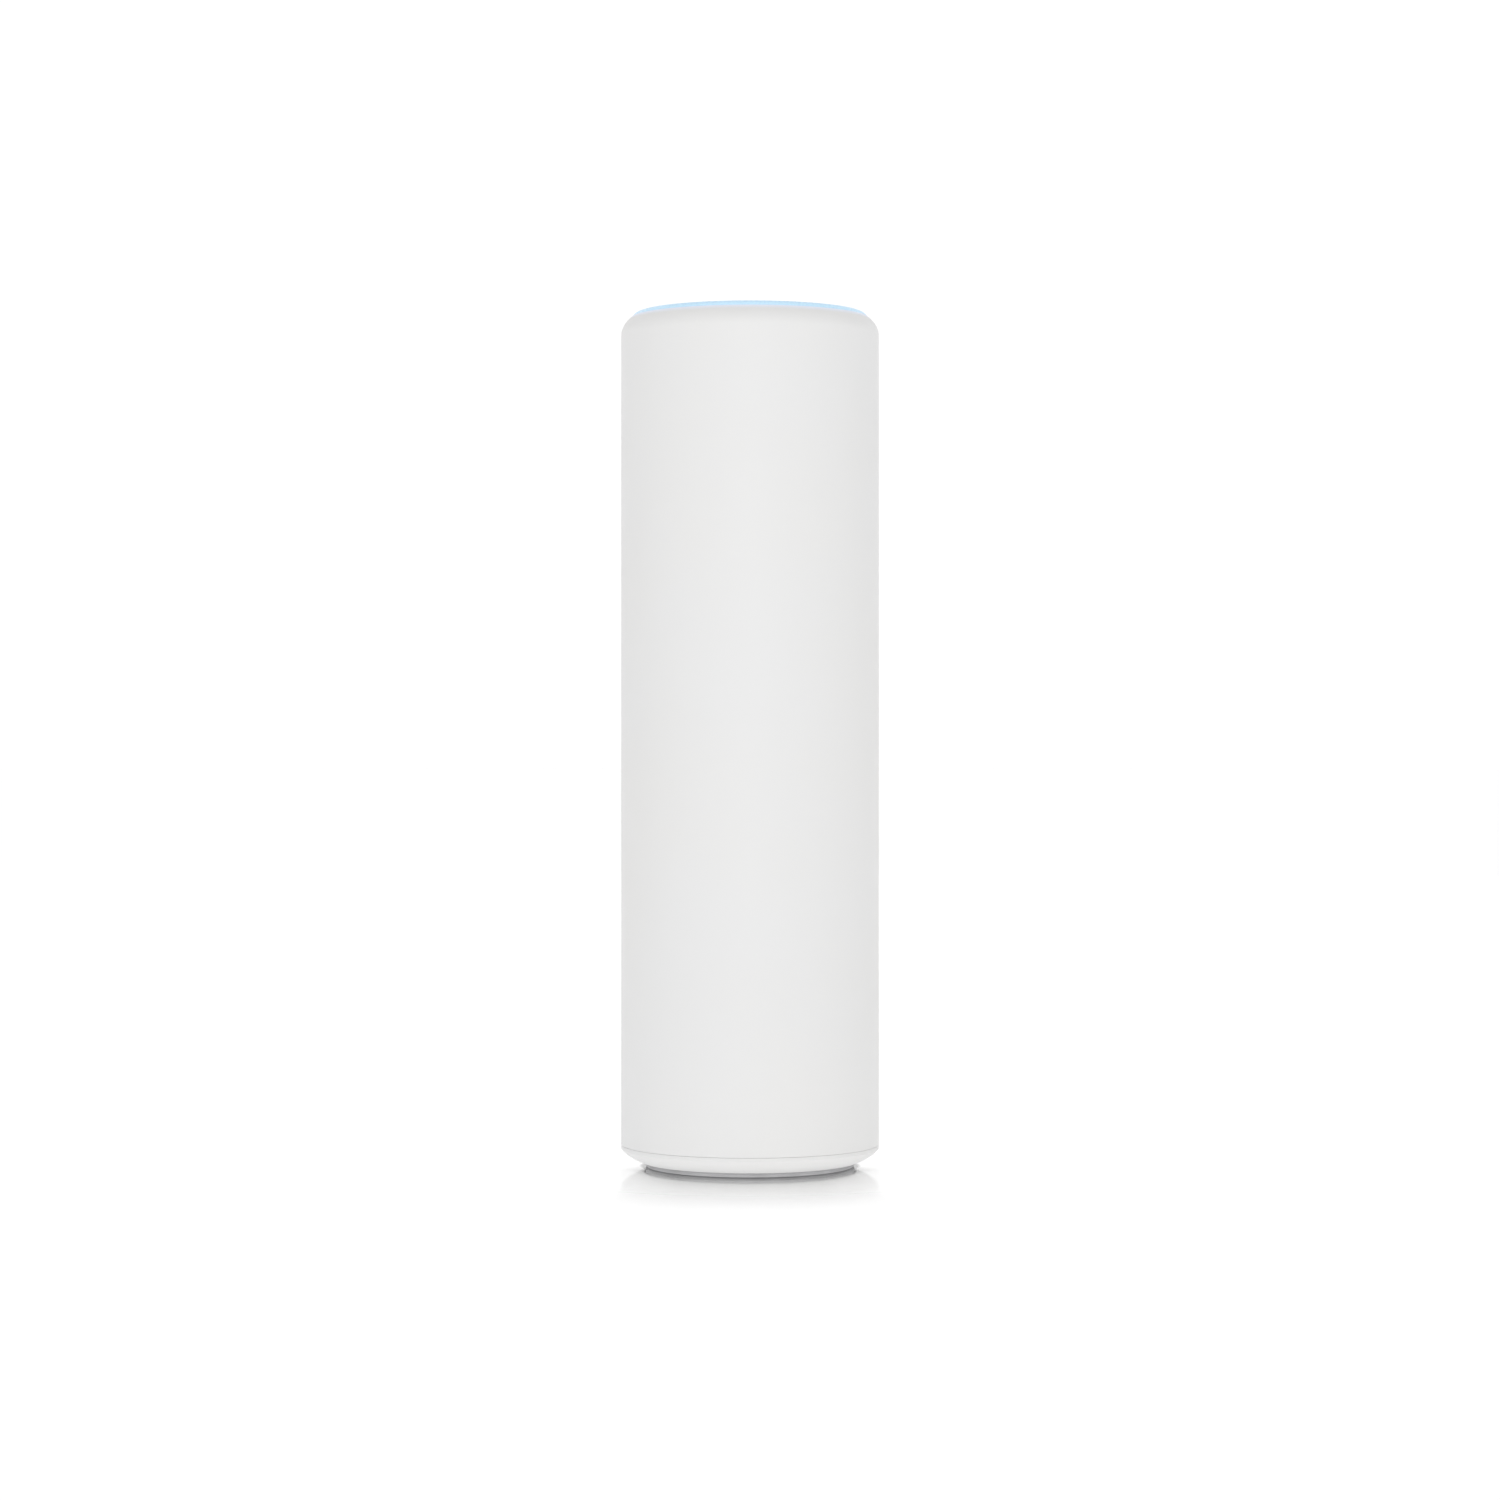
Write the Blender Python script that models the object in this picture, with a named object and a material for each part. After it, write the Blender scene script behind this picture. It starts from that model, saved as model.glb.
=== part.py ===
"""Mesh Wi-Fi node: a slim white tower with a glowing ring round its top, standing on a twist-off base.

Run it with: blender --background --python part.py

Frame: metres, +Z up, origin on the table at the centre of the foot. The plain side faces -Y and the
cable outlet faces +Y. Each sub-part is one object. Pieces that touch are drawn with a small gap.
"""

import math

import bmesh
import bpy
from mathutils import Matrix, Vector

MM = 0.001

# ---------------------------------------------------------------- driving dimensions
BODY_RADIUS = 24.25 * MM
HEIGHT = 160.5 * MM
WALL = 1.85 * MM
INNER_RADIUS = BODY_RADIUS - WALL
GAP = 0.3 * MM  # drawn between pieces that touch
EDGE = 0.3 * MM  # chamfer on moulded edges

SHOULDER_RUN = 6.0 * MM  # the shell's rounded shoulder is part of a quarter ellipse
SHOULDER_RISE = 4.7 * MM
SHOULDER_START = HEIGHT - 4.45 * MM
LAMP_OUTER = 22.1 * MM  # the light ring stands in the shoulder's mouth
LAMP_INNER = 20.6 * MM
LAMP_EDGE = HEIGHT - 1.05 * MM  # the lowest visible line of the light ring
LAMP_LEDGE = HEIGHT - 2.2 * MM  # underside of the ring's wider top
LAMP_SKIRT = 21.6 * MM  # outer radius of the ring below that
LAMP_BOTTOM = HEIGHT - 10.5 * MM
CAP_RADIUS = LAMP_INNER - GAP
CAP_TOP = HEIGHT - 0.15 * MM
CAP_UNDERSIDE = HEIGHT - 1.7 * MM
CAP_SPIGOT = (16.6 * MM, 17.9 * MM)  # radii of the ring under the cap that the reflector holds
CAP_SPIGOT_BOTTOM = HEIGHT - 8.0 * MM

SHELL_BOTTOM = 4.4 * MM
DECK = SHELL_BOTTOM - GAP  # top of the base's visible band
FOOT_LIFT = 0.95 * MM  # the base's underside above the table
BASE_FLOOR = 2.6 * MM  # upper face of the dish
FOOT_RADII = (13.0 * MM, 19.6 * MM)
FOOT_RECESS = 1.5 * MM  # height of the recess that takes the foot pad
SEAT_RADII = (22.6 * MM, 23.4 * MM)
SEAT_GROOVE = 3.3 * MM
OUTLET_WIDTH = 7.6 * MM  # cable outlet at the back
OUTLET_SPRING = 7.4 * MM  # height where its round top starts

SPIGOT_OUTER = 22.1 * MM  # the base's collar, inside the shell
SPIGOT_INNER = 19.6 * MM
SPIGOT_TOP = 12.6 * MM
LUG_ANGLES = (20, 140, 260)  # degrees, at rest
LUG_HALF = 5  # half the lug's width, in degrees
LUG_TIP = 21.3 * MM
LUG_BOTTOM = 8.3 * MM
LUG_TOP = 9.9 * MM
LOCK_TURN = 20  # degrees from open to locked
SLOT_DEPTH = 21.0 * MM  # radius of the locking slots' inner wall
SLOT_FLOOR = 7.9 * MM
SLOT_ROOF = 10.3 * MM

SCREW_HOLE = 1.3 * MM  # radius
SCREW_POST = 2.2 * MM
SCREW_LENGTH = 8 * MM
BOSS_ANGLES = (-30, 90, 210)  # the shell's three screw bosses, in degrees
BOSS_DISTANCE = 18.9 * MM
BOSS_RADIUS = 2.6 * MM
BOSS_LENGTH = 8 * MM
RIB_HALF = 3  # half the angle of the rib that ties a boss to the wall

PANEL_BOTTOM = 33.0 * MM  # underside of the port panel, above the plug's chamber
PANEL_TOP = 35.0 * MM
PANEL_RIM = 22.1 * MM
GASKET_GROOVE = (33.5 * MM, 34.6 * MM)
GROOVE_RADIUS = 21.1 * MM
RESET_X = 13.2 * MM
RESET_Y = 3.6 * MM
RESET_HOLE = 1.6 * MM

# From here on, values ending in _MM are in millimetres, for boxes and outlines.
JACK_LOW_MM = (-8.0, -6.75, 33.3)
JACK_HIGH_MM = (8.0, 6.6, 54.3)
SHEET_MM = 0.4  # thickness of stamped covers
JACK_MOUTH_MM = (5.95, -4.6, 2.5)  # half width, front and back of the plug's opening
LATCH_MM = (3.1, 4.9)  # half width and back of the latch's way
PLUG_DEPTH_MM = 14.0
CONTACTS = 8
CONTACT_PITCH = 1.02 * MM
SWITCH_LOW_MM = (10.2, 0.8, 39.9)
SWITCH_HIGH_MM = (16.2, 6.6, 43.5)

BOARD_LOW_MM = (-18.4, 6.9, 36.3)
BOARD_HIGH_MM = (18.4, 8.1, 118.6)
RAIL_X_MM = (17.0, 19.9)
RAIL_Y_MM = (5.0, 9.6)
SINK_LOW_MM = (-16.0, 11.6, 58.0)
SINK_HIGH_MM = (16.0, 14.0, 117.0)
FIN_REACH_MM = 21.2
FIN_HALF_MM = 0.6
FIN_PITCH_MM = 5
PLATE_BOTTOM = 121.0 * MM  # the chassis's top plate
PLATE_TOP = 123.0 * MM
PLATE_RADIUS = 21.6 * MM
CARRIER_BOTTOM = 123.3 * MM
CARRIER_TOP = 147.0 * MM
FLANGE_RADII = (20.5 * MM, 21.0 * MM)  # the carrier's lower and upper flanges
LED_BOARD_TOP = 148.3 * MM
LED_COUNT = 6
LED_DISTANCE = 20.9 * MM
ANTENNA_SHEET = 0.4 * MM
COAX_DIAMETER = 1.13 * MM

BIG_STEPS = 48
MEDIUM_STEPS = 36
ROUND_STEPS = 16
SMALL_STEPS = 10

FINISHES = {  # base colour, roughness, metallic
    "white plastic": ((0.83, 0.83, 0.83), 0.42, 0.0),
    "lamp plastic": ((0.62, 0.86, 1.0), 0.25, 0.0),
    "black plastic": ((0.03, 0.03, 0.032), 0.45, 0.0),
    "grey plastic": ((0.35, 0.36, 0.37), 0.5, 0.0),
    "grey rubber": ((0.30, 0.30, 0.31), 0.75, 0.0),
    "thermal pad": ((0.55, 0.62, 0.70), 0.8, 0.0),
    "circuit board": ((0.02, 0.10, 0.06), 0.4, 0.0),
    "chip resin": ((0.04, 0.04, 0.045), 0.5, 0.0),
    "ferrite": ((0.10, 0.10, 0.11), 0.6, 0.0),
    "aluminium": ((0.72, 0.73, 0.75), 0.4, 1.0),
    "steel": ((0.62, 0.62, 0.64), 0.3, 1.0),
    "tin plate": ((0.75, 0.75, 0.74), 0.3, 1.0),
    "gold plate": ((0.90, 0.68, 0.30), 0.25, 1.0),
    "coax jacket": ((0.08, 0.08, 0.085), 0.5, 0.0),
    "led": ((0.95, 0.95, 0.88), 0.3, 0.0),
}


# ---------------------------------------------------------------- modelling tools
def clear_scene():
    for obj in list(bpy.data.objects):
        bpy.data.objects.remove(obj)


def add_frame(name, parent=None, location=(0, 0, 0)):
    """An empty on a joint's axis. What moves together is parented to it."""
    empty = bpy.data.objects.new(name, None)
    bpy.context.scene.collection.objects.link(empty)
    empty.location = location
    empty.parent = parent
    return empty


def own_material(name, finish):
    colour, roughness, metallic = FINISHES[finish]
    material = bpy.data.materials.new(name)
    material.use_nodes = True
    shader = material.node_tree.nodes["Principled BSDF"]
    shader.inputs["Base Color"].default_value = (*colour, 1)
    shader.inputs["Roughness"].default_value = roughness
    shader.inputs["Metallic"].default_value = metallic
    return material


def add_part(name, shape, finish, parent, location=(0, 0, 0), turn=None):
    """One sub-part: the bmesh becomes a named object with its own material."""
    bmesh.ops.recalc_face_normals(shape, faces=shape.faces)
    mesh = bpy.data.meshes.new(name)
    shape.to_mesh(mesh)
    shape.free()
    mesh.shade_smooth()
    mesh.set_sharp_from_angle(angle=math.radians(32))
    obj = bpy.data.objects.new(name, mesh)
    bpy.context.scene.collection.objects.link(obj)
    obj.parent = parent
    obj.location = location
    if turn:
        obj.rotation_euler = turn
    if finish:
        mesh.materials.append(own_material(name, finish))
    return obj


def combine(obj, shape, operation):
    """Adds a Boolean with a hidden helper made from the bmesh."""
    helper = add_part(f"{obj.name}_{operation.lower()}", shape, None, None)
    helper.parent = obj
    helper.location = -Vector(obj.location)
    helper.hide_render = True
    helper.display_type = "WIRE"
    boolean = obj.modifiers.new(operation.title(), "BOOLEAN")
    boolean.operation = operation
    boolean.object = helper


def cut(obj, shape):
    combine(obj, shape, "DIFFERENCE")


def join(obj, shape):
    combine(obj, shape, "UNION")


def turned(profile, steps=BIG_STEPS):
    """A solid of revolution about Z. A profile that ends on the axis twice is left open there."""
    shape = bmesh.new()
    points = [shape.verts.new((radius, 0, height)) for radius, height in profile]
    pairs = list(zip(points, points[1:]))
    if profile[0][0] > 0 or profile[-1][0] > 0:
        pairs.append((points[-1], points[0]))
    edges = [shape.edges.new(pair) for pair in pairs]
    bmesh.ops.spin(
        shape,
        geom=points + edges,
        cent=(0, 0, 0),
        axis=(0, 0, 1),
        angle=math.tau,
        steps=steps,
        use_merge=True,
    )
    bmesh.ops.remove_doubles(shape, verts=shape.verts, dist=0.001 * MM)
    return shape


def sector(inner, outer, bottom, top, first, last):
    """Part of a ring, between two angles in degrees."""
    shape = bmesh.new()
    corners = [(inner, bottom), (outer, bottom), (outer, top), (inner, top)]
    points = [shape.verts.new((radius, 0, height)) for radius, height in corners]
    face = shape.faces.new(points)
    bmesh.ops.rotate(shape, verts=points, matrix=Matrix.Rotation(math.radians(first), 3, "Z"))
    bmesh.ops.spin(
        shape,
        geom=[face],
        cent=(0, 0, 0),
        axis=(0, 0, 1),
        angle=math.radians(last - first),
        steps=max(2, round((last - first) / 4)),
    )
    return shape


def add_box(shape, low, high):
    low, high = Vector(low), Vector(high)
    place = Matrix.Translation((low + high) / 2) @ Matrix.Diagonal((*(high - low), 1))
    bmesh.ops.create_cube(shape, size=1, matrix=place)


def boxes(*corner_pairs):
    """Boxes in one bmesh, each from its lowest and highest corners in millimetres."""
    shape = bmesh.new()
    for low, high in corner_pairs:
        add_box(shape, Vector(low) * MM, Vector(high) * MM)
    return shape


def rods(places, radius, length, along="Z", steps=SMALL_STEPS):
    """Cylinders in one bmesh, each starting at its place and running along +Z or +Y."""
    shape = bmesh.new()
    turn = Matrix.Identity(4)
    if along == "Y":
        turn = Matrix.Rotation(-math.pi / 2, 4, "X")
    for place in places:
        move = Matrix.Translation(place) @ turn @ Matrix.Translation((0, 0, length / 2))
        bmesh.ops.create_cone(
            shape, cap_ends=True, segments=steps, radius1=radius, radius2=radius, depth=length, matrix=move
        )
    return shape


def extruded(outline, depth, place):
    """An outline in millimetres in the XY plane, raised by depth and put in place."""
    shape = bmesh.new()
    face = shape.faces.new([shape.verts.new((x * MM, y * MM, 0)) for x, y in outline])
    raised = bmesh.ops.extrude_face_region(shape, geom=[face])
    moved = [item for item in raised["geom"] if isinstance(item, bmesh.types.BMVert)]
    bmesh.ops.translate(shape, verts=moved, vec=(0, 0, depth))
    bmesh.ops.transform(shape, matrix=place, verts=shape.verts)
    return shape


def arc(centre, radius, first, last, count):
    """Points on an arc, angles in degrees."""
    angles = [math.radians(first + (last - first) * i / (count - 1)) for i in range(count)]
    return [(centre[0] + radius * math.cos(a), centre[1] + radius * math.sin(a)) for a in angles]


def shoulder(first_radius, last_radius, count):
    """Points on the rounded top edge, from one radius to a smaller one."""
    centre = BODY_RADIUS - SHOULDER_RUN
    angles = [math.acos(min(1, (radius - centre) / SHOULDER_RUN)) for radius in (first_radius, last_radius)]
    points = []
    for i in range(count):
        angle = angles[0] + (angles[1] - angles[0]) * i / (count - 1)
        radius = centre + SHOULDER_RUN * math.cos(angle)
        points.append((radius, SHOULDER_START + SHOULDER_RISE * math.sin(angle)))
    return points


def lamp_crown(count):
    """Points over the light ring's rounded top, from its outer edge to its inner wall."""
    width, rise = LAMP_OUTER - LAMP_INNER, HEIGHT - LAMP_EDGE
    angles = [math.pi / 2 * i / (count - 1) for i in range(count)]
    return [(LAMP_INNER + width * math.cos(a), LAMP_EDGE + rise * math.sin(a)) for a in angles]


def undercut(count):
    """The base's curved lower edge, from the band down to the foot: a quadratic Bezier."""
    start = Vector((BODY_RADIUS, DECK - 0.6 * MM))
    pull = Vector((23.4, 2.2)) * MM
    end = Vector((FOOT_RADII[1] + 0.7 * MM, FOOT_LIFT))
    shares = [i / (count - 1) for i in range(count)]
    return [tuple(start * (1 - t) ** 2 + pull * 2 * t * (1 - t) + end * t**2) for t in shares]


def smooth_route(points, spacing):
    """Evenly spaced points on a smooth curve through the given ones (Catmull-Rom)."""
    points = [Vector(p) * MM for p in points]
    padded = [2 * points[0] - points[1], *points, 2 * points[-1] - points[-2]]
    fine = []
    for a, b, c, d in zip(padded, padded[1:], padded[2:], padded[3:]):
        for i in range(20):
            t = i / 20
            square, cube = 2 * a - 5 * b + 4 * c - d, 3 * b - a - 3 * c + d
            fine.append((2 * b + (c - a) * t + square * t**2 + cube * t**3) / 2)
    fine.append(points[-1])
    kept = [fine[0]]
    for point in fine[1:-1]:
        if (point - kept[-1]).length >= spacing:
            kept.append(point)
    return [*kept, fine[-1]]


def add_cable(name, points, diameter, finish, parent):
    """A round lead that the object holds along its whole route."""
    curve = bpy.data.curves.new(name, "CURVE")
    curve.dimensions = "3D"
    curve.bevel_depth = diameter / 2
    curve.bevel_resolution = 2
    curve.use_fill_caps = True
    spline = curve.splines.new("POLY")
    route = smooth_route(points, 2.4 * diameter)
    spline.points.add(len(route) - 1)
    for spot, point in zip(spline.points, route):
        spot.co = (*point, 1)
    curve.materials.append(own_material(name, finish))
    obj = bpy.data.objects.new(name, curve)
    bpy.context.scene.collection.objects.link(obj)
    obj.parent = parent


def add_screw(name, parent, head_at, direction, length):
    """A pan-head screw. Its head's underside is at head_at and its thread runs along direction."""
    head, thread, tall = 1.9 * MM, 1.0 * MM, 1.3 * MM
    socket, socket_depth = 0.75 * MM, 0.7 * MM
    profile = [
        (0, -tall + socket_depth),
        (socket, -tall + socket_depth),
        (socket, -tall),
        (head - 0.5 * MM, -tall),
        (head, -tall + 0.5 * MM),
        (head, 0),
        (thread, 0),
        (thread, length - 0.6 * MM),
        (0.3 * MM, length),
        (0, length),
    ]
    turn = Vector((0, 0, 1)).rotation_difference(Vector(direction)).to_euler()
    add_part(name, turned(profile, SMALL_STEPS), "steel", parent, head_at, turn)


# ---------------------------------------------------------------- base
def make_base(parent):
    """The twist-off stand: a dish with a collar that the tower's lugs lock into."""
    recess_inner, recess_outer = FOOT_RADII[0] - GAP, FOOT_RADII[1] + GAP
    groove_inner, groove_outer = SEAT_RADII[0] - GAP, SEAT_RADII[1] + GAP
    profile = [
        (0, FOOT_LIFT),
        (recess_inner, FOOT_LIFT),
        (recess_inner, FOOT_RECESS),
        (recess_outer, FOOT_RECESS),
        (recess_outer, FOOT_LIFT),
        *reversed(undercut(7)),
        (BODY_RADIUS, DECK - 0.2 * MM),
        (BODY_RADIUS - 0.2 * MM, DECK),
        (groove_outer, DECK),
        (groove_outer, SEAT_GROOVE),
        (groove_inner, SEAT_GROOVE),
        (groove_inner, DECK),
        (SPIGOT_OUTER, DECK),
        (SPIGOT_OUTER, SPIGOT_TOP - 0.4 * MM),
        (SPIGOT_OUTER - 0.4 * MM, SPIGOT_TOP),
        (SPIGOT_INNER, SPIGOT_TOP),
        (SPIGOT_INNER, BASE_FLOOR + 0.6 * MM),
        (SPIGOT_INNER - 0.6 * MM, BASE_FLOOR),
        (0, BASE_FLOOR),
    ]
    base = add_part("base_dish", turned(profile), "white plastic", parent)
    above, outside = SPIGOT_TOP + 1.4 * MM, SPIGOT_OUTER + 0.9 * MM
    # Gap in the collar, wide enough for the cable with the tower open or locked.
    cut(base, sector(18 * MM, outside, DECK + 0.2 * MM, above, 90 - LOCK_TURN - 12, 90 + 12))
    for angle in LUG_ANGLES:
        entry = (angle - LUG_HALF - 2, angle + LUG_HALF + 2)
        cut(base, sector(SLOT_DEPTH, outside, SLOT_FLOOR, above, *entry))
        cut(base, sector(SLOT_DEPTH, outside, SLOT_FLOOR, SLOT_ROOF, entry[0] - LOCK_TURN, entry[0] + 3))

    inner, outer = FOOT_RADII
    pad_top = FOOT_RECESS - GAP
    pad = [(inner, EDGE), (inner + EDGE, 0), (outer - EDGE, 0), (outer, EDGE)]
    pad += [(outer, pad_top), (inner, pad_top)]
    add_part("foot_pad", turned(pad, MEDIUM_STEPS), "grey rubber", parent)


def make_seat_ring(parent):
    """Soft ring in the base's groove, which the tower's edge comes down on."""
    inner, outer = SEAT_RADII
    bottom = SEAT_GROOVE + GAP
    crown = ((inner + outer) / 2, DECK + 0.15 * MM)
    profile = [(inner, bottom), (outer, bottom), (outer, DECK), crown, (inner, DECK)]
    add_part("seat_ring", turned(profile, MEDIUM_STEPS), "grey rubber", parent)


# ---------------------------------------------------------------- casing
def boss_places(height):
    """The shell's three screw bosses."""
    angles = [math.radians(angle) for angle in BOSS_ANGLES]
    return [Vector((BOSS_DISTANCE * math.cos(a), BOSS_DISTANCE * math.sin(a), height)) for a in angles]


def make_outer_shell(parent):
    """The tube with its rounded shoulder, screw bosses, locking lugs and cable outlet."""
    ring_room = LAMP_OUTER + GAP
    skirt_room = LAMP_SKIRT + GAP
    profile = [
        (BODY_RADIUS - EDGE, SHELL_BOTTOM),
        (BODY_RADIUS, SHELL_BOTTOM + EDGE),
        *shoulder(BODY_RADIUS, ring_room, 7),
        (ring_room, LAMP_LEDGE - GAP),
        (skirt_room, LAMP_LEDGE - GAP),
        (skirt_room, HEIGHT - 7.0 * MM),
        (INNER_RADIUS, HEIGHT - 7.5 * MM),
        (INNER_RADIUS, SHELL_BOTTOM + EDGE),
        (INNER_RADIUS + EDGE, SHELL_BOTTOM),
    ]
    shell = add_part("outer_shell", turned(profile), "white plastic", parent)
    boss_bottom = PANEL_TOP + GAP
    inside_wall = INNER_RADIUS + 0.8 * MM
    join(shell, rods(boss_places(boss_bottom), BOSS_RADIUS, BOSS_LENGTH))
    rib_bottom, rib_top = boss_bottom + 0.5 * MM, boss_bottom + BOSS_LENGTH - 0.5 * MM
    for angle in BOSS_ANGLES:
        join(shell, sector(19.5 * MM, inside_wall, rib_bottom, rib_top, angle - RIB_HALF, angle + RIB_HALF))
    cut(shell, rods(boss_places(boss_bottom - 1 * MM), SCREW_HOLE, BOSS_LENGTH - 0.5 * MM))
    for angle in LUG_ANGLES:
        join(shell, sector(LUG_TIP, inside_wall, LUG_BOTTOM, LUG_TOP, angle - LUG_HALF, angle + LUG_HALF))
    half = OUTLET_WIDTH / 2 / MM
    below = SHELL_BOTTOM / MM - 1.4
    round_top = arc((0, OUTLET_SPRING / MM), half, 0, 180, 13)
    place = Matrix.Translation((0, BODY_RADIUS + 2.75 * MM, 0)) @ Matrix.Rotation(math.pi / 2, 4, "X")
    cut(shell, extruded([(half, below), *round_top, (-half, below)], 7 * MM, place))


def make_lamp(parent):
    """The light ring, the cap inside it, and the reflector that holds them."""
    ring = [
        *lamp_crown(5),
        (LAMP_INNER, LAMP_BOTTOM),
        (LAMP_SKIRT, LAMP_BOTTOM),
        (LAMP_SKIRT, LAMP_LEDGE),
        (LAMP_OUTER, LAMP_LEDGE),
    ]
    add_part("light_ring", turned(ring), "lamp plastic", parent)
    spigot_inner, spigot_outer = CAP_SPIGOT
    cap = [
        (0, CAP_UNDERSIDE),
        (spigot_inner, CAP_UNDERSIDE),
        (spigot_inner, CAP_SPIGOT_BOTTOM),
        (spigot_outer, CAP_SPIGOT_BOTTOM),
        (spigot_outer, CAP_UNDERSIDE),
        (CAP_RADIUS, CAP_UNDERSIDE),
        (CAP_RADIUS, CAP_TOP - EDGE),
        (CAP_RADIUS - EDGE, CAP_TOP),
        (0, CAP_TOP),
    ]
    add_part("top_cap", turned(cap), "white plastic", parent)
    floor = LED_BOARD_TOP + GAP
    wall_inner, wall_outer = spigot_outer + 0.5 * MM, LAMP_INNER - 0.6 * MM
    wall_top = CAP_UNDERSIDE - 1.2 * MM
    step = floor + 1.4 * MM
    foot_inner = 14.4 * MM
    reflector = [
        (foot_inner, floor),
        (wall_outer, floor),
        (wall_outer, wall_top),
        (wall_inner, wall_top),
        (wall_inner, step),
        (foot_inner, step),
    ]
    holder = add_part("reflector", turned(reflector, MEDIUM_STEPS), "white plastic", parent)
    cut(holder, rods(carrier_screw_places(floor - 1 * MM), SCREW_HOLE, 4 * MM))


def carrier_screw_places(height):
    return [Vector((side * 16.5 * MM, 0, height)) for side in (-1, 1)]


def make_led_board(parent):
    """Ring-shaped board under the light ring, with its six lights."""
    bottom = LED_BOARD_TOP - 1.0 * MM
    inner, outer = 10 * MM, LAMP_SKIRT
    profile = [(inner, bottom), (outer, bottom), (outer, LED_BOARD_TOP), (inner, LED_BOARD_TOP)]
    board = add_part("led_board", turned(profile, MEDIUM_STEPS), "circuit board", parent)
    cut(board, rods(carrier_screw_places(bottom - 1 * MM), SCREW_HOLE, 3 * MM))
    for i in range(LED_COUNT):
        angle = math.tau * (i + 0.5) / LED_COUNT
        place = Vector((math.cos(angle), math.sin(angle), 0)) * LED_DISTANCE
        place.z = LED_BOARD_TOP + 0.7 * MM
        body = boxes(((-0.6, -1.0, -0.4), (0.6, 1.0, 0.4)))
        add_part(f"led_{i + 1}", body, "led", parent, place, (0, 0, angle))


# ---------------------------------------------------------------- port panel and jack
def chassis_screw_places(height):
    return [Vector((side * 12.5 * MM, 10.6 * MM, height)) for side in (-1, 1)]


def make_port_panel(parent):
    """Closes the tower from below. The plug's chamber is under it."""
    groove_low, groove_high = GASKET_GROOVE
    profile = [
        (0, PANEL_BOTTOM),
        (PANEL_RIM - EDGE, PANEL_BOTTOM),
        (PANEL_RIM, PANEL_BOTTOM + EDGE),
        (PANEL_RIM, groove_low),
        (GROOVE_RADIUS, groove_low),
        (GROOVE_RADIUS, groove_high),
        (PANEL_RIM, groove_high),
        (PANEL_RIM, PANEL_TOP),
        (0, PANEL_TOP),
    ]
    panel = add_part("port_panel", turned(profile, MEDIUM_STEPS), "white plastic", parent)
    below, through = PANEL_BOTTOM - 2 * MM, 6 * MM
    room = GAP / MM
    jack_low = (JACK_LOW_MM[0] - room - 0.05, JACK_LOW_MM[1] - room, below / MM)
    jack_high = (JACK_HIGH_MM[0] + room + 0.05, JACK_HIGH_MM[1] + room, (below + through) / MM)
    cut(panel, boxes((jack_low, jack_high)))
    cut(panel, rods([*boss_places(below), *chassis_screw_places(below)], SCREW_HOLE, through))
    cut(panel, rods([(RESET_X, RESET_Y, below)], RESET_HOLE, through, steps=ROUND_STEPS))
    inner, outer, bulge = GROOVE_RADIUS + GAP, PANEL_RIM - 0.1 * MM, 0.2 * MM
    low, high = groove_low + GAP, groove_high - GAP
    gasket = [(inner, low), (outer, low), (outer + bulge, (low + high) / 2), (outer, high), (inner, high)]
    add_part("panel_gasket", turned(gasket, MEDIUM_STEPS), "grey rubber", parent)
    for i, place in enumerate(boss_places(PANEL_BOTTOM - GAP)):
        add_screw(f"panel_screw_{i + 1}", parent, place, (0, 0, 1), SCREW_LENGTH)
    for i, place in enumerate(chassis_screw_places(PANEL_BOTTOM - GAP)):
        add_screw(f"chassis_screw_{i + 1}", parent, place, (0, 0, 1), SCREW_LENGTH)


def make_jack(parent):
    """Eight-way modular jack, mouth down: a steel can, its insulator and the contact insert."""
    low, high = Vector(JACK_LOW_MM), Vector(JACK_HIGH_MM)
    skin = Vector((SHEET_MM, SHEET_MM, SHEET_MM))
    shield = add_part("jack_shield", boxes((low, high)), "tin plate", parent)
    cut(shield, boxes((low + skin - Vector((0, 0, 1.7)), high - skin)))
    clear = skin + Vector((1, 1, 1)) * GAP / MM
    bottom = low + clear - Vector((0, 0, SHEET_MM))
    housing = add_part("jack_housing", boxes((bottom, high - clear)), "black plastic", parent)
    wide, front, back = JACK_MOUTH_MM
    latch, latch_back = LATCH_MM
    mouth = [(-wide, front), (wide, front), (wide, back), (latch, back), (latch, latch_back)]
    mouth += [(-latch, latch_back), (-latch, back), (-wide, back)]
    way_in = bottom.z - 1.1
    cut(housing, extruded(mouth, PLUG_DEPTH_MM * MM, Matrix.Translation((0, 0, way_in * MM))))
    cut(housing, boxes(((-wide, front, way_in + PLUG_DEPTH_MM - 2.5), (wide, back, 52.3))))
    insert_low, insert_high = Vector((-5.6, -4.3, 46.9)), Vector((5.6, 2.2, 51.9))
    insert = add_part("jack_contacts", boxes((insert_low, insert_high)), "gold plate", parent)
    slope = math.atan2(1.85, 8.8)
    fingers = bmesh.new()
    for i in range(CONTACTS):
        place = Matrix.Translation(((i - (CONTACTS - 1) / 2) * CONTACT_PITCH, -2.95 * MM, 42.8 * MM))
        size = Matrix.Diagonal((0.5 * MM, 0.3 * MM, 9.0 * MM, 1))
        bmesh.ops.create_cube(fingers, size=1, matrix=place @ Matrix.Rotation(-slope, 4, "X") @ size)
    join(insert, fingers)


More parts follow.
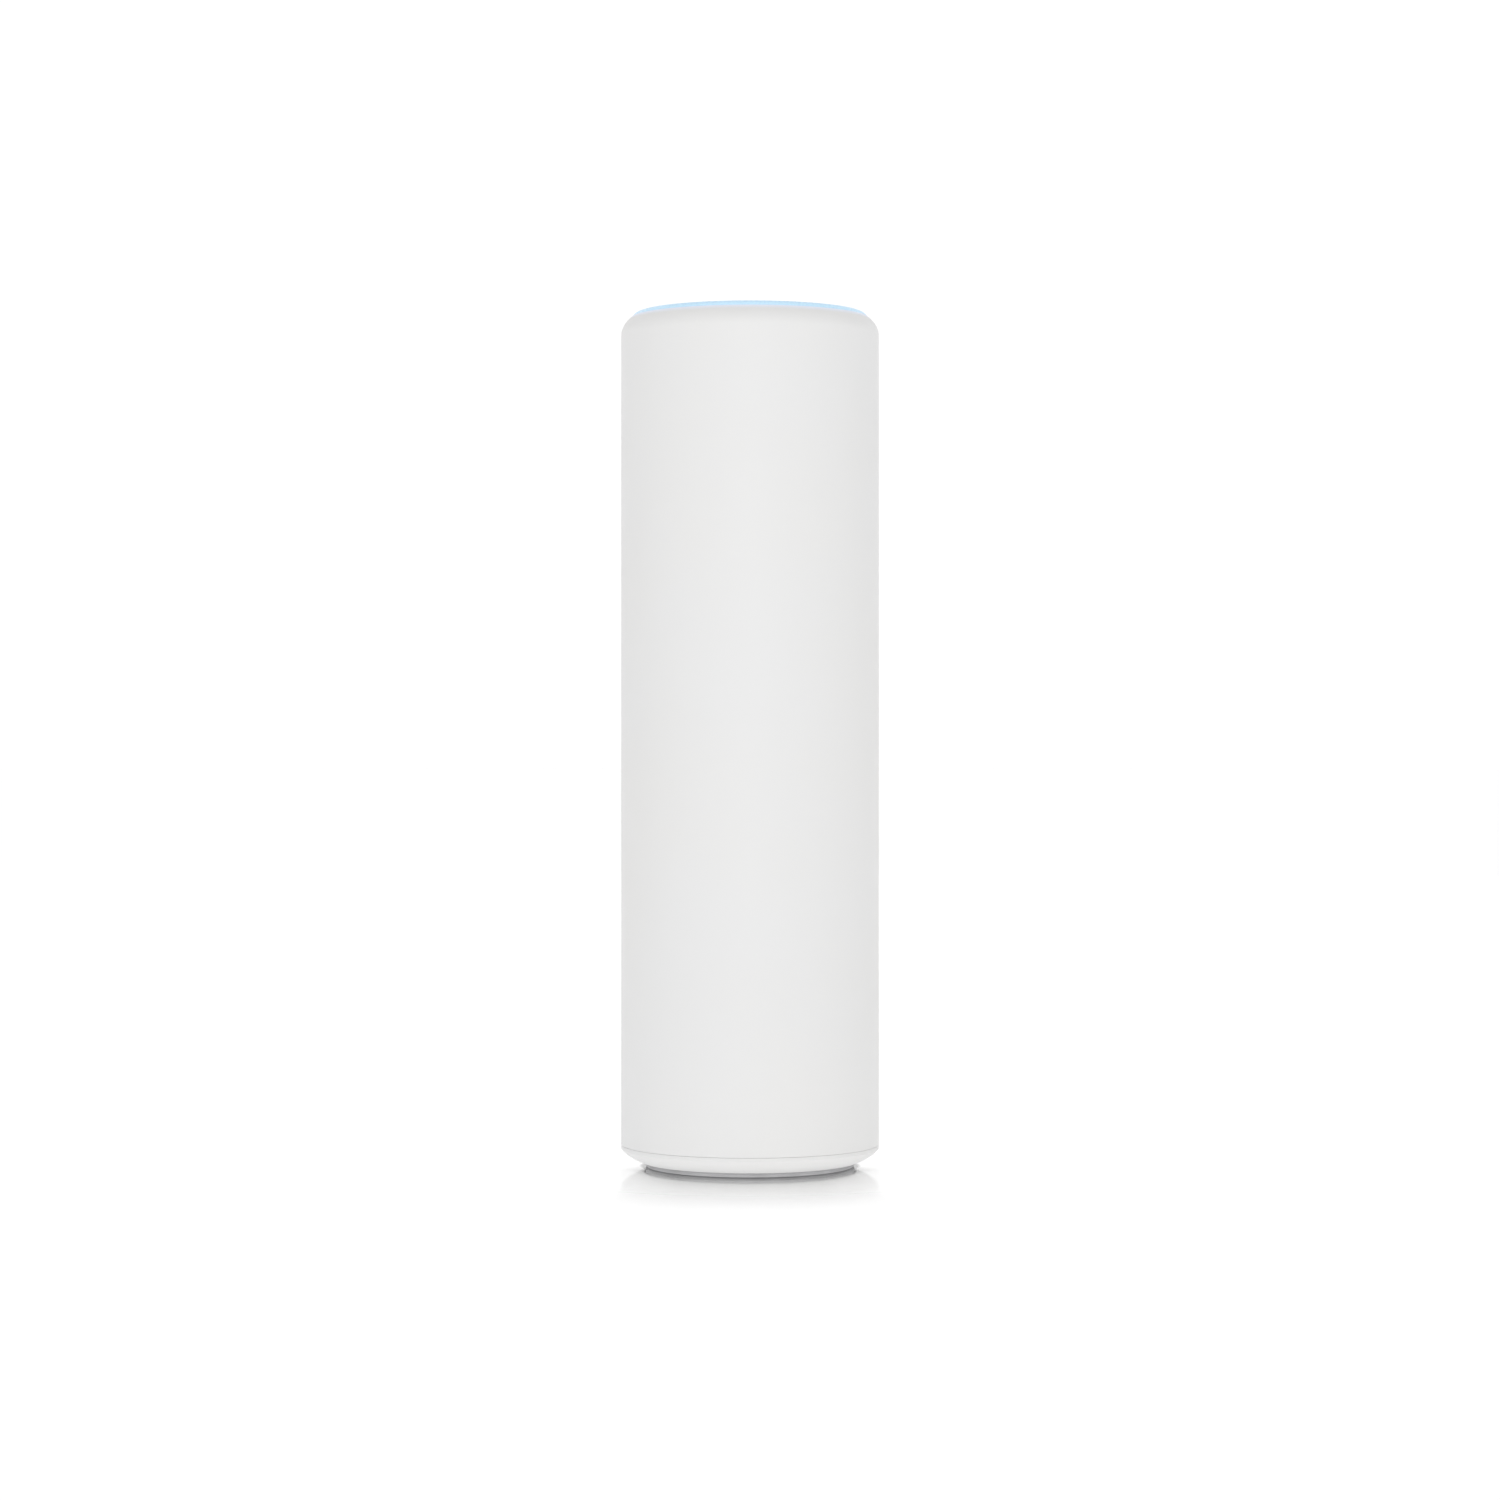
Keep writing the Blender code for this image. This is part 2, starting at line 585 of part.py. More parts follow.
def make_reset_switch(parent, button_frame):
    """Side-push switch on the board, and the button that reaches it through the panel."""
    switch = add_part("reset_switch", boxes((SWITCH_LOW_MM, SWITCH_HIGH_MM)), "black plastic", parent)
    stem, body, flange = 1.0 * MM, RESET_HOLE - GAP, 2.1 * MM
    cut(switch, rods([(RESET_X, RESET_Y, 39 * MM)], stem + GAP, 2.9 * MM, steps=ROUND_STEPS))
    tip, flange_low, flange_high, stem_top = 33.6 * MM, PANEL_TOP + GAP, 36.1 * MM, 38.5 * MM
    plunger_top = 41.1 * MM
    plunger = [(0, stem_top + GAP), (stem, stem_top + GAP), (stem, plunger_top), (0, plunger_top)]
    add_part("reset_plunger", turned(plunger, ROUND_STEPS), "grey plastic", button_frame)
    button = [
        (0, tip),
        (body - EDGE, tip),
        (body, tip + EDGE),
        (body, flange_low),
        (flange, flange_low),
        (flange, flange_high),
        (stem, flange_high),
        (stem, stem_top),
        (0, stem_top),
    ]
    add_part("reset_button", turned(button, ROUND_STEPS), "grey plastic", button_frame)


# ---------------------------------------------------------------- chassis and boards
def heat_sink_screw_places(depth):
    return [Vector((x * MM, depth, z * MM)) for x in (-14, 14) for z in (60.5, 114.5)]


def make_chassis(parent):
    """Two slotted rails for the main board, a cross bar and a top plate."""
    near, far = RAIL_X_MM
    front, back = RAIL_Y_MM
    bottom, top = (PANEL_TOP + GAP) / MM, PLATE_TOP / MM - 1
    rails = boxes(((-far, front, bottom), (-near, back, top)), ((near, front, bottom), (far, back, top)))
    plate = [(0, PLATE_BOTTOM), (PLATE_RADIUS, PLATE_BOTTOM), (PLATE_RADIUS, PLATE_TOP), (0, PLATE_TOP)]
    chassis = add_part("chassis", turned(plate, MEDIUM_STEPS), "black plastic", parent)
    join(chassis, rails)
    join(chassis, boxes(((-18.5, 8.7, bottom + 0.3), (18.5, 11.2, 38.9))))
    join(chassis, rods(chassis_screw_places(PANEL_TOP + GAP), SCREW_POST, SCREW_LENGTH))
    room = Vector((1, 1, 1)) * GAP / MM
    cut(chassis, boxes((Vector(BOARD_LOW_MM) - room, Vector(BOARD_HIGH_MM) + room + Vector((0, 0, 0.1)))))
    cut(chassis, boxes(((-8, -8, 119), (8, 4.4, 125))))
    cut(chassis, rods(lead_holes(PLATE_BOTTOM - 2 * MM), SCREW_POST, 6 * MM))
    cut(chassis, rods(chassis_screw_places(PANEL_TOP - 1 * MM), SCREW_HOLE, SCREW_LENGTH))


def lead_holes(height):
    """Where the antenna leads pass down through the carrier and the plate."""
    distance = 14.6 * MM
    return [Vector((distance * x, distance * y, height)) for x, y in ((1, 0), (-1, 0), (0, -1), (0, 1))]


def make_main_board(parent):
    board = add_part("main_board", boxes((BOARD_LOW_MM, BOARD_HIGH_MM)), "circuit board", parent)
    cut(board, rods(heat_sink_screw_places(5 * MM), SCREW_HOLE, 5 * MM, "Y"))


def make_heat_sink(parent):
    """Finned plate behind the board, on four posts."""
    low, high = SINK_LOW_MM, SINK_HIGH_MM
    sink = add_part("heat_sink", boxes((low, high)), "aluminium", parent)
    edge = int(high[0]) - 1
    fins = []
    for x in range(-edge, edge + 1, FIN_PITCH_MM):
        tip = math.sqrt(FIN_REACH_MM**2 - (abs(x) + FIN_HALF_MM) ** 2)
        fins.append(((x - FIN_HALF_MM, high[1] - 0.5, low[2] + 0.5), (x + FIN_HALF_MM, tip, high[2] - 0.5)))
    join(sink, boxes(*fins))
    board_front, board_back = BOARD_LOW_MM[1] * MM, BOARD_HIGH_MM[1] * MM
    join(sink, rods(heat_sink_screw_places(board_back + GAP), 2.1 * MM, 4 * MM, "Y"))
    cut(sink, rods(heat_sink_screw_places(board_back), SCREW_HOLE, 5.2 * MM, "Y"))
    for i, place in enumerate(heat_sink_screw_places(board_front - GAP)):
        add_screw(f"heat_sink_screw_{i + 1}", parent, place, (0, 1, 0), 6 * MM)


def make_shield(name, parent, low, high, open_side):
    """A stamped can over a chip, open towards the board: open_side is -1 towards -Y, 1 towards +Y."""
    can = add_part(name, boxes((low, high)), "tin plate", parent)
    skin = Vector((SHEET_MM, SHEET_MM, SHEET_MM))
    inner_low, inner_high = Vector(low) + skin, Vector(high) - skin
    if open_side < 0:
        inner_low.y -= 2
    else:
        inner_high.y += 2
    cut(can, boxes((inner_low, inner_high)))


def make_board_parts(parent):
    """What is soldered to the main board, and the pads that carry its heat to the heat sink."""
    plain = {  # name: (lowest corner, highest corner, finish), millimetres
        "processor": ((-8.5, 8.4, 67.5), (8.5, 9.6, 84.5), "chip resin"),
        "radio_5g": ((-6, 8.4, 94.5), (6, 9.5, 106.5), "chip resin"),
        "radio_2g": ((-4.5, 5.5, 98.5), (4.5, 6.6, 107.5), "chip resin"),
        "processor_pad": ((-10, 10.8, 67), (10, 11.3, 85), "thermal pad"),
        "radio_pad": ((-10, 10.8, 93), (10, 11.3, 108), "thermal pad"),
        "ethernet_transformer": ((-8.5, 0.9, 57), (8.5, 6.6, 69.5), "chip resin"),
        "poe_transformer": ((-15, -4.4, 73), (-2, 6.6, 86), "ferrite"),
        "power_inductor": ((5, 2.6, 86.2), (12, 6.6, 93.2), "ferrite"),
    }
    for name, (low, high, finish) in plain.items():
        add_part(name, boxes((low, high)), finish, parent)
    make_shield("processor_shield", parent, (-13, 8.4, 64), (13, 10.5, 88), -1)
    make_shield("radio_5g_shield", parent, (-13, 8.4, 90), (13, 10.5, 111), -1)
    make_shield("radio_2g_shield", parent, (-13, 4.6, 95.5), (13, 6.6, 111), 1)
    can = rods([(8.5 * MM, -3.4 * MM, 79.5 * MM)], 4 * MM, 10 * MM, "Y", 24)
    add_part("bulk_capacitor", can, "aluminium", parent)


# ---------------------------------------------------------------- antennas and leads
def make_antenna_carrier(parent):
    """Square tower that holds the four upper antennas, with a flange at each end."""
    lower, upper = FLANGE_RADII
    foot_top, head_bottom = CARRIER_BOTTOM + 2.0 * MM, CARRIER_TOP - 1.7 * MM
    foot = [(0, CARRIER_BOTTOM), (lower, CARRIER_BOTTOM), (lower, foot_top), (0, foot_top)]
    carrier = add_part("antenna_carrier", turned(foot, MEDIUM_STEPS), "black plastic", parent)
    join(carrier, boxes(((-11, -11, 125), (11, 11, 146))))
    head = [(0, head_bottom), (upper, head_bottom), (upper, CARRIER_TOP), (0, CARRIER_TOP)]
    join(carrier, turned(head, MEDIUM_STEPS))
    join(carrier, rods(carrier_screw_places(CARRIER_TOP - 7.7 * MM), SCREW_POST, 6.5 * MM))
    cut(carrier, boxes(((-9.4, -9.4, 120), (9.4, 9.4, 150))))
    cut(carrier, rods(lead_holes(CARRIER_BOTTOM - 1.3 * MM), SCREW_POST, 5 * MM))
    cut(carrier, rods(carrier_screw_places(CARRIER_TOP - 6.5 * MM), SCREW_HOLE, 8 * MM))
    for i, place in enumerate(carrier_screw_places(LED_BOARD_TOP + 2.0 * MM)):
        add_screw(f"carrier_screw_{i + 1}", parent, place, (0, 0, -1), SCREW_LENGTH)


def make_antennas(parent):
    """Stamped inverted-F antennas: four small ones round the carrier and two large ones on the board."""
    small = [(-7, 12), (-7, 9), (-3.5, 9), (-3.5, 1), (-1.5, 1), (-1.5, 9)]
    small += [(1.5, 9), (1.5, 0), (3.5, 0), (3.5, 9), (7, 9), (7, 12)]
    for i, angle in enumerate((90, 270, 0, 180)):
        upright = Matrix.Translation((0, -11.3 * MM, 129 * MM)) @ Matrix.Rotation(math.pi / 2, 4, "X")
        place = Matrix.Rotation(math.radians(angle), 4, "Z") @ upright
        add_part(f"antenna_5g_{i + 1}", extruded(small, ANTENNA_SHEET, place), "gold plate", parent)
    large = [(-9, 15), (-9, 11), (1, 11), (1, 6), (-7, 6), (-7, 3), (5.8, 3), (5.8, 0), (6.4, 0), (6.4, 15)]
    for name, side in (("antenna_2g_left", -1), ("antenna_2g_right", 1)):
        across = side * 16.3 * MM - ANTENNA_SHEET / 2
        stand = Matrix(((0, 0, 1, across), (1, 0, 0, 0), (0, 1, 0, 95.5 * MM), (0, 0, 0, 1)))
        add_part(name, extruded(large, ANTENNA_SHEET, stand), "gold plate", parent)


def make_leads(parent):
    """Coax from each upper antenna to the board, and the flat cable to the lights."""
    side = [(12.6, 0, 127.4), (13.8, 0, 126.2), (14.6, 0, 124), (14.6, 0.2, 121.5), (13.6, 1.6, 119)]
    side += [(11.6, 3.8, 117.3), (10.3, 5.3, 115.8), (10, 5.7, 113.9)]
    front = [(0, -12.6, 127.4), (0, -13.8, 126.2), (0, -14.6, 124), (0, -14.4, 121.5), (1.2, -12.4, 119)]
    front += [(3.2, -7, 117.6), (5, -1, 116.9), (5.9, 4, 116), (6, 5.7, 114.8), (6, 5.8, 113.5)]
    back = [(0, 12.6, 127.4), (0, 13.8, 126.2), (0, 14.6, 124), (0, 14.2, 121.3), (-1.4, 12.4, 119.9)]
    back += [(-4.2, 9.2, 119.8), (-5.8, 6.9, 119.6), (-6.2, 5.7, 118), (-6.1, 5.6, 116), (-6, 5.8, 113.6)]
    mirrored = [(-x, y, z) for x, y, z in side]
    for i, route in enumerate((side, mirrored, front, back)):
        add_cable(f"antenna_lead_{i + 1}", route, COAX_DIAMETER, "coax jacket", parent)
    line = [(3, 147.0), (3, 121), (5.4, 117.5), (5.4, 113)]
    thickness_mm, width = 0.3, 6 * MM
    ribbon = [*line, *[(y + thickness_mm, z - thickness_mm / 4) for y, z in reversed(line)]]
    stand = Matrix(((0, 0, 1, -width / 2), (1, 0, 0, 0), (0, 1, 0, 0), (0, 0, 0, 1)))
    add_part("led_cable", extruded(ribbon, width, stand), "white plastic", parent)


def main():
    clear_scene()
    base = add_frame("base_frame")
    seat = add_frame("seat_frame", base)  # turns about Z to lock the tower
    tower = add_frame("tower_frame", seat)  # lifts along Z
    button = add_frame("reset_frame", tower, (RESET_X, RESET_Y, 0))  # slides along Z
    make_base(base)
    make_seat_ring(seat)
    make_outer_shell(tower)
    make_lamp(tower)
    make_led_board(tower)
    make_port_panel(tower)
    make_jack(tower)
    make_reset_switch(tower, button)
    make_chassis(tower)
    make_main_board(tower)
    make_heat_sink(tower)
    make_board_parts(tower)
    make_antenna_carrier(tower)
    make_antennas(tower)
    make_leads(tower)


main()
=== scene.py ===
"""Looks for the mesh Wi-Fi node: fine meshes, materials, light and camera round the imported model.

Metres, +Z up. Roundings and the sizes of the materials' features are in millimetres.
The plain side faces -Y, where the camera stands, and the cable outlet faces +Y.
"""

import math
import random

import bmesh
import bpy
from mathutils import Matrix, Vector


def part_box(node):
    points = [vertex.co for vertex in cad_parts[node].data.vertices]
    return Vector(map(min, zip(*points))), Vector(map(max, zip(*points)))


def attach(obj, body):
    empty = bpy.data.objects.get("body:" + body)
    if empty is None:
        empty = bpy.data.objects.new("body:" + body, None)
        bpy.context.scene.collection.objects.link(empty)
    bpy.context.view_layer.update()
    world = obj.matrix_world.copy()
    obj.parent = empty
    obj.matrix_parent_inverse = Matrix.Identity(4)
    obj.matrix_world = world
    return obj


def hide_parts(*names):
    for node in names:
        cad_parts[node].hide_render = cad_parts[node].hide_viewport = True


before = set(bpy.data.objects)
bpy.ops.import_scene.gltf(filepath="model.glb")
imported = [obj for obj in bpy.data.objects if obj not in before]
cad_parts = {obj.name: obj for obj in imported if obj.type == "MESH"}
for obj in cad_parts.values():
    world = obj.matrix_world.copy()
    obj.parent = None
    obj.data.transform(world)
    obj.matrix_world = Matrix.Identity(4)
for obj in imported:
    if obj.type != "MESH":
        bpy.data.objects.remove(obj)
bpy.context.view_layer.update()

# ---- sizes
MM = 0.001
STEPS = 180  # facets round the large turned pieces, 2 degrees each
SMALL_STEPS = 48
SEAM = 0.03 * MM  # visible gap between casing pieces
GAP = 0.3 * MM  # clearance between hidden pieces
ON_AXIS = 1e-7  # a radius below this is a point on the axis
SHARP_ANGLE = 35  # degrees; edges sharper than this stay crisp in the shading
BEVEL_ANGLE = 40  # degrees; edges sharper than this are rounded
FLAT_ANGLE = math.radians(0.5)  # CAD faces whose directions differ by less lie in one plane

BODY_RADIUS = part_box("outer_shell")[1].x
INNER_RADIUS = BODY_RADIUS - 1.85 * MM
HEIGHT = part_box("light_ring")[1].z
LAMP_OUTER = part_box("light_ring")[1].x
LAMP_INNER = LAMP_OUTER - 1.5 * MM
LAMP_EDGE = HEIGHT - 1.05 * MM
LAMP_LEDGE = HEIGHT - 2.2 * MM  # underside of the light ring's wider top
LAMP_SKIRT = 21.6 * MM  # outer radius of the ring below that
LAMP_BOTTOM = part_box("light_ring")[0].z
CAP_UNDERSIDE = HEIGHT - 1.7 * MM
CAP_SPIGOT = (16.6 * MM, 17.9 * MM)  # radii of the ring under the cap
CAP_SPIGOT_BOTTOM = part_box("top_cap")[0].z
CAP_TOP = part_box("top_cap")[1].z
SHOULDER_RUN = 6.0 * MM
SHOULDER_RISE = 4.7 * MM
SHOULDER_START = HEIGHT - 4.45 * MM

FOOT_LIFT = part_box("base_dish")[0].z
COLLAR_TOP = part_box("base_dish")[1].z
COLLAR_OUTER = 22.1 * MM
COLLAR_INNER = 19.6 * MM
FOOT_RADII = (13.0 * MM, 19.6 * MM)
FOOT_RECESS = 1.5 * MM
BASE_FLOOR = 2.6 * MM
SEAT_GROOVE = (22.3 * MM, 23.7 * MM, 3.3 * MM)  # inner and outer radius, floor
SLOT_DEPTH = 21.0 * MM
SLOT_FLOOR = 7.9 * MM
SLOT_ROOF = 10.3 * MM
DECK = 4.16 * MM
SHELL_BOTTOM = DECK + SEAM
LUG_ANGLES = (20, 140, 260)
LUG_HALF = 5  # degrees
LUG_BOX = (21.3 * MM, 8.3 * MM, 9.9 * MM)  # tip radius, bottom, top
LOCK_TURN = 20  # degrees
CABLE_GAP_HALF = 13  # degrees of the collar cut away on each side of the cable
CABLE_GAP_FLOOR = 4.3 * MM
OUTLET_HALF = 3.8 * MM
OUTLET_SPRING = 7.4 * MM

PANEL_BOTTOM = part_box("port_panel")[0].z
PANEL_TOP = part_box("port_panel")[1].z
PANEL_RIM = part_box("port_panel")[1].x
BOSS_DISTANCE = 18.9 * MM  # the shell's three screw bosses, from the axis
BOSS_ANGLES = (-30, 90, 210)
BOSS_RADIUS = 2.6 * MM
BOSS_LENGTH = 8 * MM
WEB_RADIUS = 19.5 * MM  # where the web that joins a boss to the wall begins
WEB_HALF = 3  # degrees
SCREW_HOLE = 1.3 * MM
CROSS_TAPER = 0.45  # width at the bottom of a screw's recess, as a share of the width at its mouth
SCREW_SEAT = 2.3 * MM  # radius of the sinking that holds a screw's head
CHASSIS_SCREW_X = 12.5 * MM
CHASSIS_SCREW_Y = 10.6 * MM
SKIRT_TOP = 26 * MM  # height of the shell's lowest stretch
OUTLET_CORNER = 0.9 * MM  # rounding where the outlet meets the shell's edge
RIM_EASE = 0.06 * MM  # rounding of the outlet's rim
RIM_ANGLE = 1.2  # radians; an edge sharper than this is a rim
RESET_X = 13.2 * MM
RESET_Y = 3.6 * MM
BOARD_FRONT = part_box("main_board")[0].y
CONTACTS = 8
CONTACT_PITCH = 1.02 * MM

CAMERA_DISTANCE = 698.8 * MM
CAMERA_HEIGHT = 81.4 * MM
LENS = 89.1  # millimetres on the default 36 mm sensor
HORIZON_SHIFT = -0.0111
BACKDROP_LIGHT = 1.06
SIDE_LIGHT = 0.68
TOP_LIGHT = 0.665
FRONT_LIGHT = 6.0  # watts
BACK_LIGHT = 1.2
# LIP_GLOW is a painted glow: emission on the shell's lip stands in for the light ring's light falling on it
LIP_GLOW = 0.16  # light that the ring lends the shell's lip
FLOOR_RADIUS = 8.0
FLOOR_THICKNESS = 10 * MM
FLOOR_GLOW = 0.305
# Painted shade: near the object the floor's glow is held back to FLOOR_GLOW_SEEN for camera rays only
FLOOR_GLOW_SEEN = 0.17  # nearest the object, as the camera sees it
FLOOR_WHITE = (0.94, 0.94, 0.94)
# The floor's shade is a painted shadow: ambient occlusion darkens the floor's colour and glow as the camera
# sees it
FLOOR_SHADED = (0.12, 0.12, 0.12)
FLOOR_SHADE_REACH = 45 * MM
FLOOR_SHADE_STRENGTH = 1.5
FLOOR_SHADE_CORE = 13 * MM  # half width of the soft shade's darkest strip
FLOOR_SHADE_EDGE = (23.0 * MM, 25.6 * MM)  # where the shade ends on each side
FLOOR_SHADE_FRONT = (-7 * MM, -1 * MM)  # it fades in along Y between these
FLOOR_CONTACT_RADII = (19.8 * MM, 21.0 * MM)  # the contact shade all round fades out between these
FLOOR_GLOSS_RADII = (24 * MM, 75 * MM)


# ---- mesh tools
def arc(centre, radii, first, last, count):
    """Points on an elliptical arc, angles in degrees."""
    points = []
    for i in range(count):
        angle = math.radians(first + (last - first) * i / (count - 1))
        points.append((centre[0] + radii[0] * math.cos(angle), centre[1] + radii[1] * math.sin(angle)))
    return points


def rounded(corners):
    """A closed outline with its corners rounded. A corner is (x, y) or (x, y, radius in millimetres)."""
    points = []
    for i, corner in enumerate(corners):
        here = Vector(corner[:2])
        if len(corner) == 2:
            points.append(tuple(here))
            continue
        into = Vector(corners[i - 1][:2]) - here
        out = Vector(corners[(i + 1) % len(corners)][:2]) - here
        room = 0.49 * min(into.length, out.length)
        into.normalize()
        out.normalize()
        half = math.acos(max(-1.0, min(1.0, into.dot(out)))) / 2
        radius = min(corner[2] * MM, room * math.tan(half))
        reach = radius / math.tan(half)
        centre = here + (into + out).normalized() * radius / math.sin(half)
        first, last = here + into * reach - centre, here + out * reach - centre
        start = math.degrees(math.atan2(first.y, first.x))
        turn = (math.degrees(math.atan2(last.y, last.x)) - start + 180) % 360 - 180
        count = max(3, math.ceil(abs(turn) / 15) + 1)
        points += arc(centre, (radius, radius), start, start + turn, count)
    return points


def add_walls(shape, rows):
    """Faces between each row of vertices and the next. A row is a closed loop; its vertices may coincide."""
    for low, high in zip(rows, rows[1:]):
        for i in range(len(low)):
            k = (i + 1) % len(low)
            corners = list(dict.fromkeys([low[i], low[k], high[k], high[i]]))
            if len(corners) > 2:
                shape.faces.new(corners)


def revolved(profile, steps=STEPS, closed=True):
    """A solid of revolution about Z as a bmesh. A point at radius 0 becomes one vertex."""
    shape = bmesh.new()
    rings = []
    for radius, height in profile:
        if radius < ON_AXIS:
            rings.append([shape.verts.new((0, 0, height))] * steps)
            continue
        angles = [math.tau * i / steps for i in range(steps)]
        rings.append([shape.verts.new((radius * math.cos(a), radius * math.sin(a), height)) for a in angles])
    add_walls(shape, rings + rings[:1] if closed else rings)
    return shape


def ring_sector(inner, outer, bottom, top, first, last):
    """Part of a ring between two angles in degrees, with a vertex every 2 degrees at most."""
    shape = bmesh.new()
    count = max(2, math.ceil((last - first) / 2))
    rows = []
    for i in range(count + 1):
        angle = math.radians(first + (last - first) * i / count)
        spoke = Vector((math.cos(angle), math.sin(angle), 0))
        corners = [(inner, bottom), (outer, bottom), (outer, top), (inner, top)]
        rows.append([shape.verts.new(spoke * radius + Vector((0, 0, z))) for radius, z in corners])
    add_walls(shape, rows)
    shape.faces.new(rows[0])
    shape.faces.new(list(reversed(rows[-1])))
    return shape


def prism(outline, bottom, top):
    """An upright solid with the given XY outline."""
    shape = bmesh.new()
    floor = [shape.verts.new((x, y, bottom)) for x, y in outline]
    roof = [shape.verts.new((x, y, top)) for x, y in outline]
    shape.faces.new(list(reversed(floor)))
    shape.faces.new(roof)
    add_walls(shape, [floor, roof])
    return shape


def box_shape(low, high):
    shape = bmesh.new()
    low, high = Vector(low), Vector(high)
    place = Matrix.Translation((low + high) / 2) @ Matrix.Diagonal((*(high - low), 1))
    bmesh.ops.create_cube(shape, size=1, matrix=place)
    return shape


def in_mm(*points):
    """Points given in millimetres, as a list in metres."""
    return [tuple(value * MM for value in point) for point in points]


def rod(centre, radius, bottom, top, steps=SMALL_STEPS):
    return prism(arc(centre, (radius, radius), 0, 360 - 360 / steps, steps), bottom, top)


def moved(shape, matrix):
    bmesh.ops.transform(shape, matrix=matrix, verts=shape.verts)
    return shape


def merged(shapes):
    """Several bmeshes side by side in one."""
    whole = bmesh.new()
    for shape in shapes:
        part = bpy.data.meshes.new("part")
        shape.to_mesh(part)
        shape.free()
        whole.from_mesh(part)
        bpy.data.meshes.remove(part)
    return whole


def wire(points, across, radius, steps=12):
    """A round wire through points that lie in one plane. across is that plane's normal."""
    shape = bmesh.new()
    rings = []
    for i, here in enumerate(points):
        along = (points[min(i + 1, len(points) - 1)] - points[max(i - 1, 0)]).normalized()
        up = along.cross(across)
        ring = []
        for k in range(steps):
            turn = math.tau * k / steps
            ring.append(shape.verts.new(here + (across * math.cos(turn) + up * math.sin(turn)) * radius))
        rings.append(ring)
    add_walls(shape, rings)
    shape.faces.new(rings[0])
    shape.faces.new(rings[-1])
    return shape


def along_y(shape, place):
    """Turns a shape made along +Z so that it runs along +Y from the place."""
    return moved(shape, Matrix.Translation(place) @ Matrix.Rotation(-math.pi / 2, 4, "X"))


def numbered(name, count):
    return [f"{name}_{i + 1}" for i in range(count)]


def plain_object(name, shape):
    bmesh.ops.recalc_face_normals(shape, faces=shape.faces)
    mesh = bpy.data.meshes.new(name)
    shape.to_mesh(mesh)
    shape.free()
    obj = bpy.data.objects.new(name, mesh)
    bpy.context.scene.collection.objects.link(obj)
    return obj


def carved(shape, cutters=(), additions=()):
    """The bmesh with the additions united and then the cutters taken away, as a new bmesh."""
    obj = plain_object("blank", shape)
    helpers = []
    for operation, group in (("UNION", additions), ("DIFFERENCE", cutters)):
        for other in group:
            helper = plain_object("helper", other)
            boolean = obj.modifiers.new("Carve", "BOOLEAN")
            boolean.operation = operation
            boolean.object = helper
            helpers.append(helper)
    bpy.context.view_layer.update()
    mesh = bpy.data.meshes.new_from_object(obj.evaluated_get(bpy.context.evaluated_depsgraph_get()))
    result = bmesh.new()
    result.from_mesh(mesh)
    for helper in (obj, *helpers):
        bpy.data.meshes.remove(helper.data)
    bpy.data.meshes.remove(mesh)
    return result


def add_piece(name, shape, look, node=None, bevel=0.0, body="tower"):
    """A finished piece: it rides on its body, stands for its CAD node and is shaded smooth."""
    material, slot = look
    obj = plain_object(name, shape)
    if bevel:
        modifier = obj.modifiers.new("Edges", "BEVEL")
        modifier.width = bevel * MM
        modifier.segments = 3
        modifier.limit_method = "ANGLE"
        modifier.angle_limit = math.radians(BEVEL_ANGLE)
    obj.data.shade_smooth()
    obj.data.set_sharp_from_angle(angle=math.radians(SHARP_ANGLE))
    obj.data.materials.append(material)
    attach(obj, body)
    if node:
        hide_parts(node)


def cad_shape(node):
    """A CAD piece's own shape, with its flat faces joined up."""
    shape = bmesh.new()
    shape.from_mesh(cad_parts[node].data)
    bmesh.ops.dissolve_limit(shape, angle_limit=FLAT_ANGLE, verts=shape.verts, edges=shape.edges)
    return shape


def round_off(node, look, bevel):
    """A CAD piece whose own shape is right, with its edges rounded."""
    add_piece(f"{node}_surface", cad_shape(node), look, node, bevel)


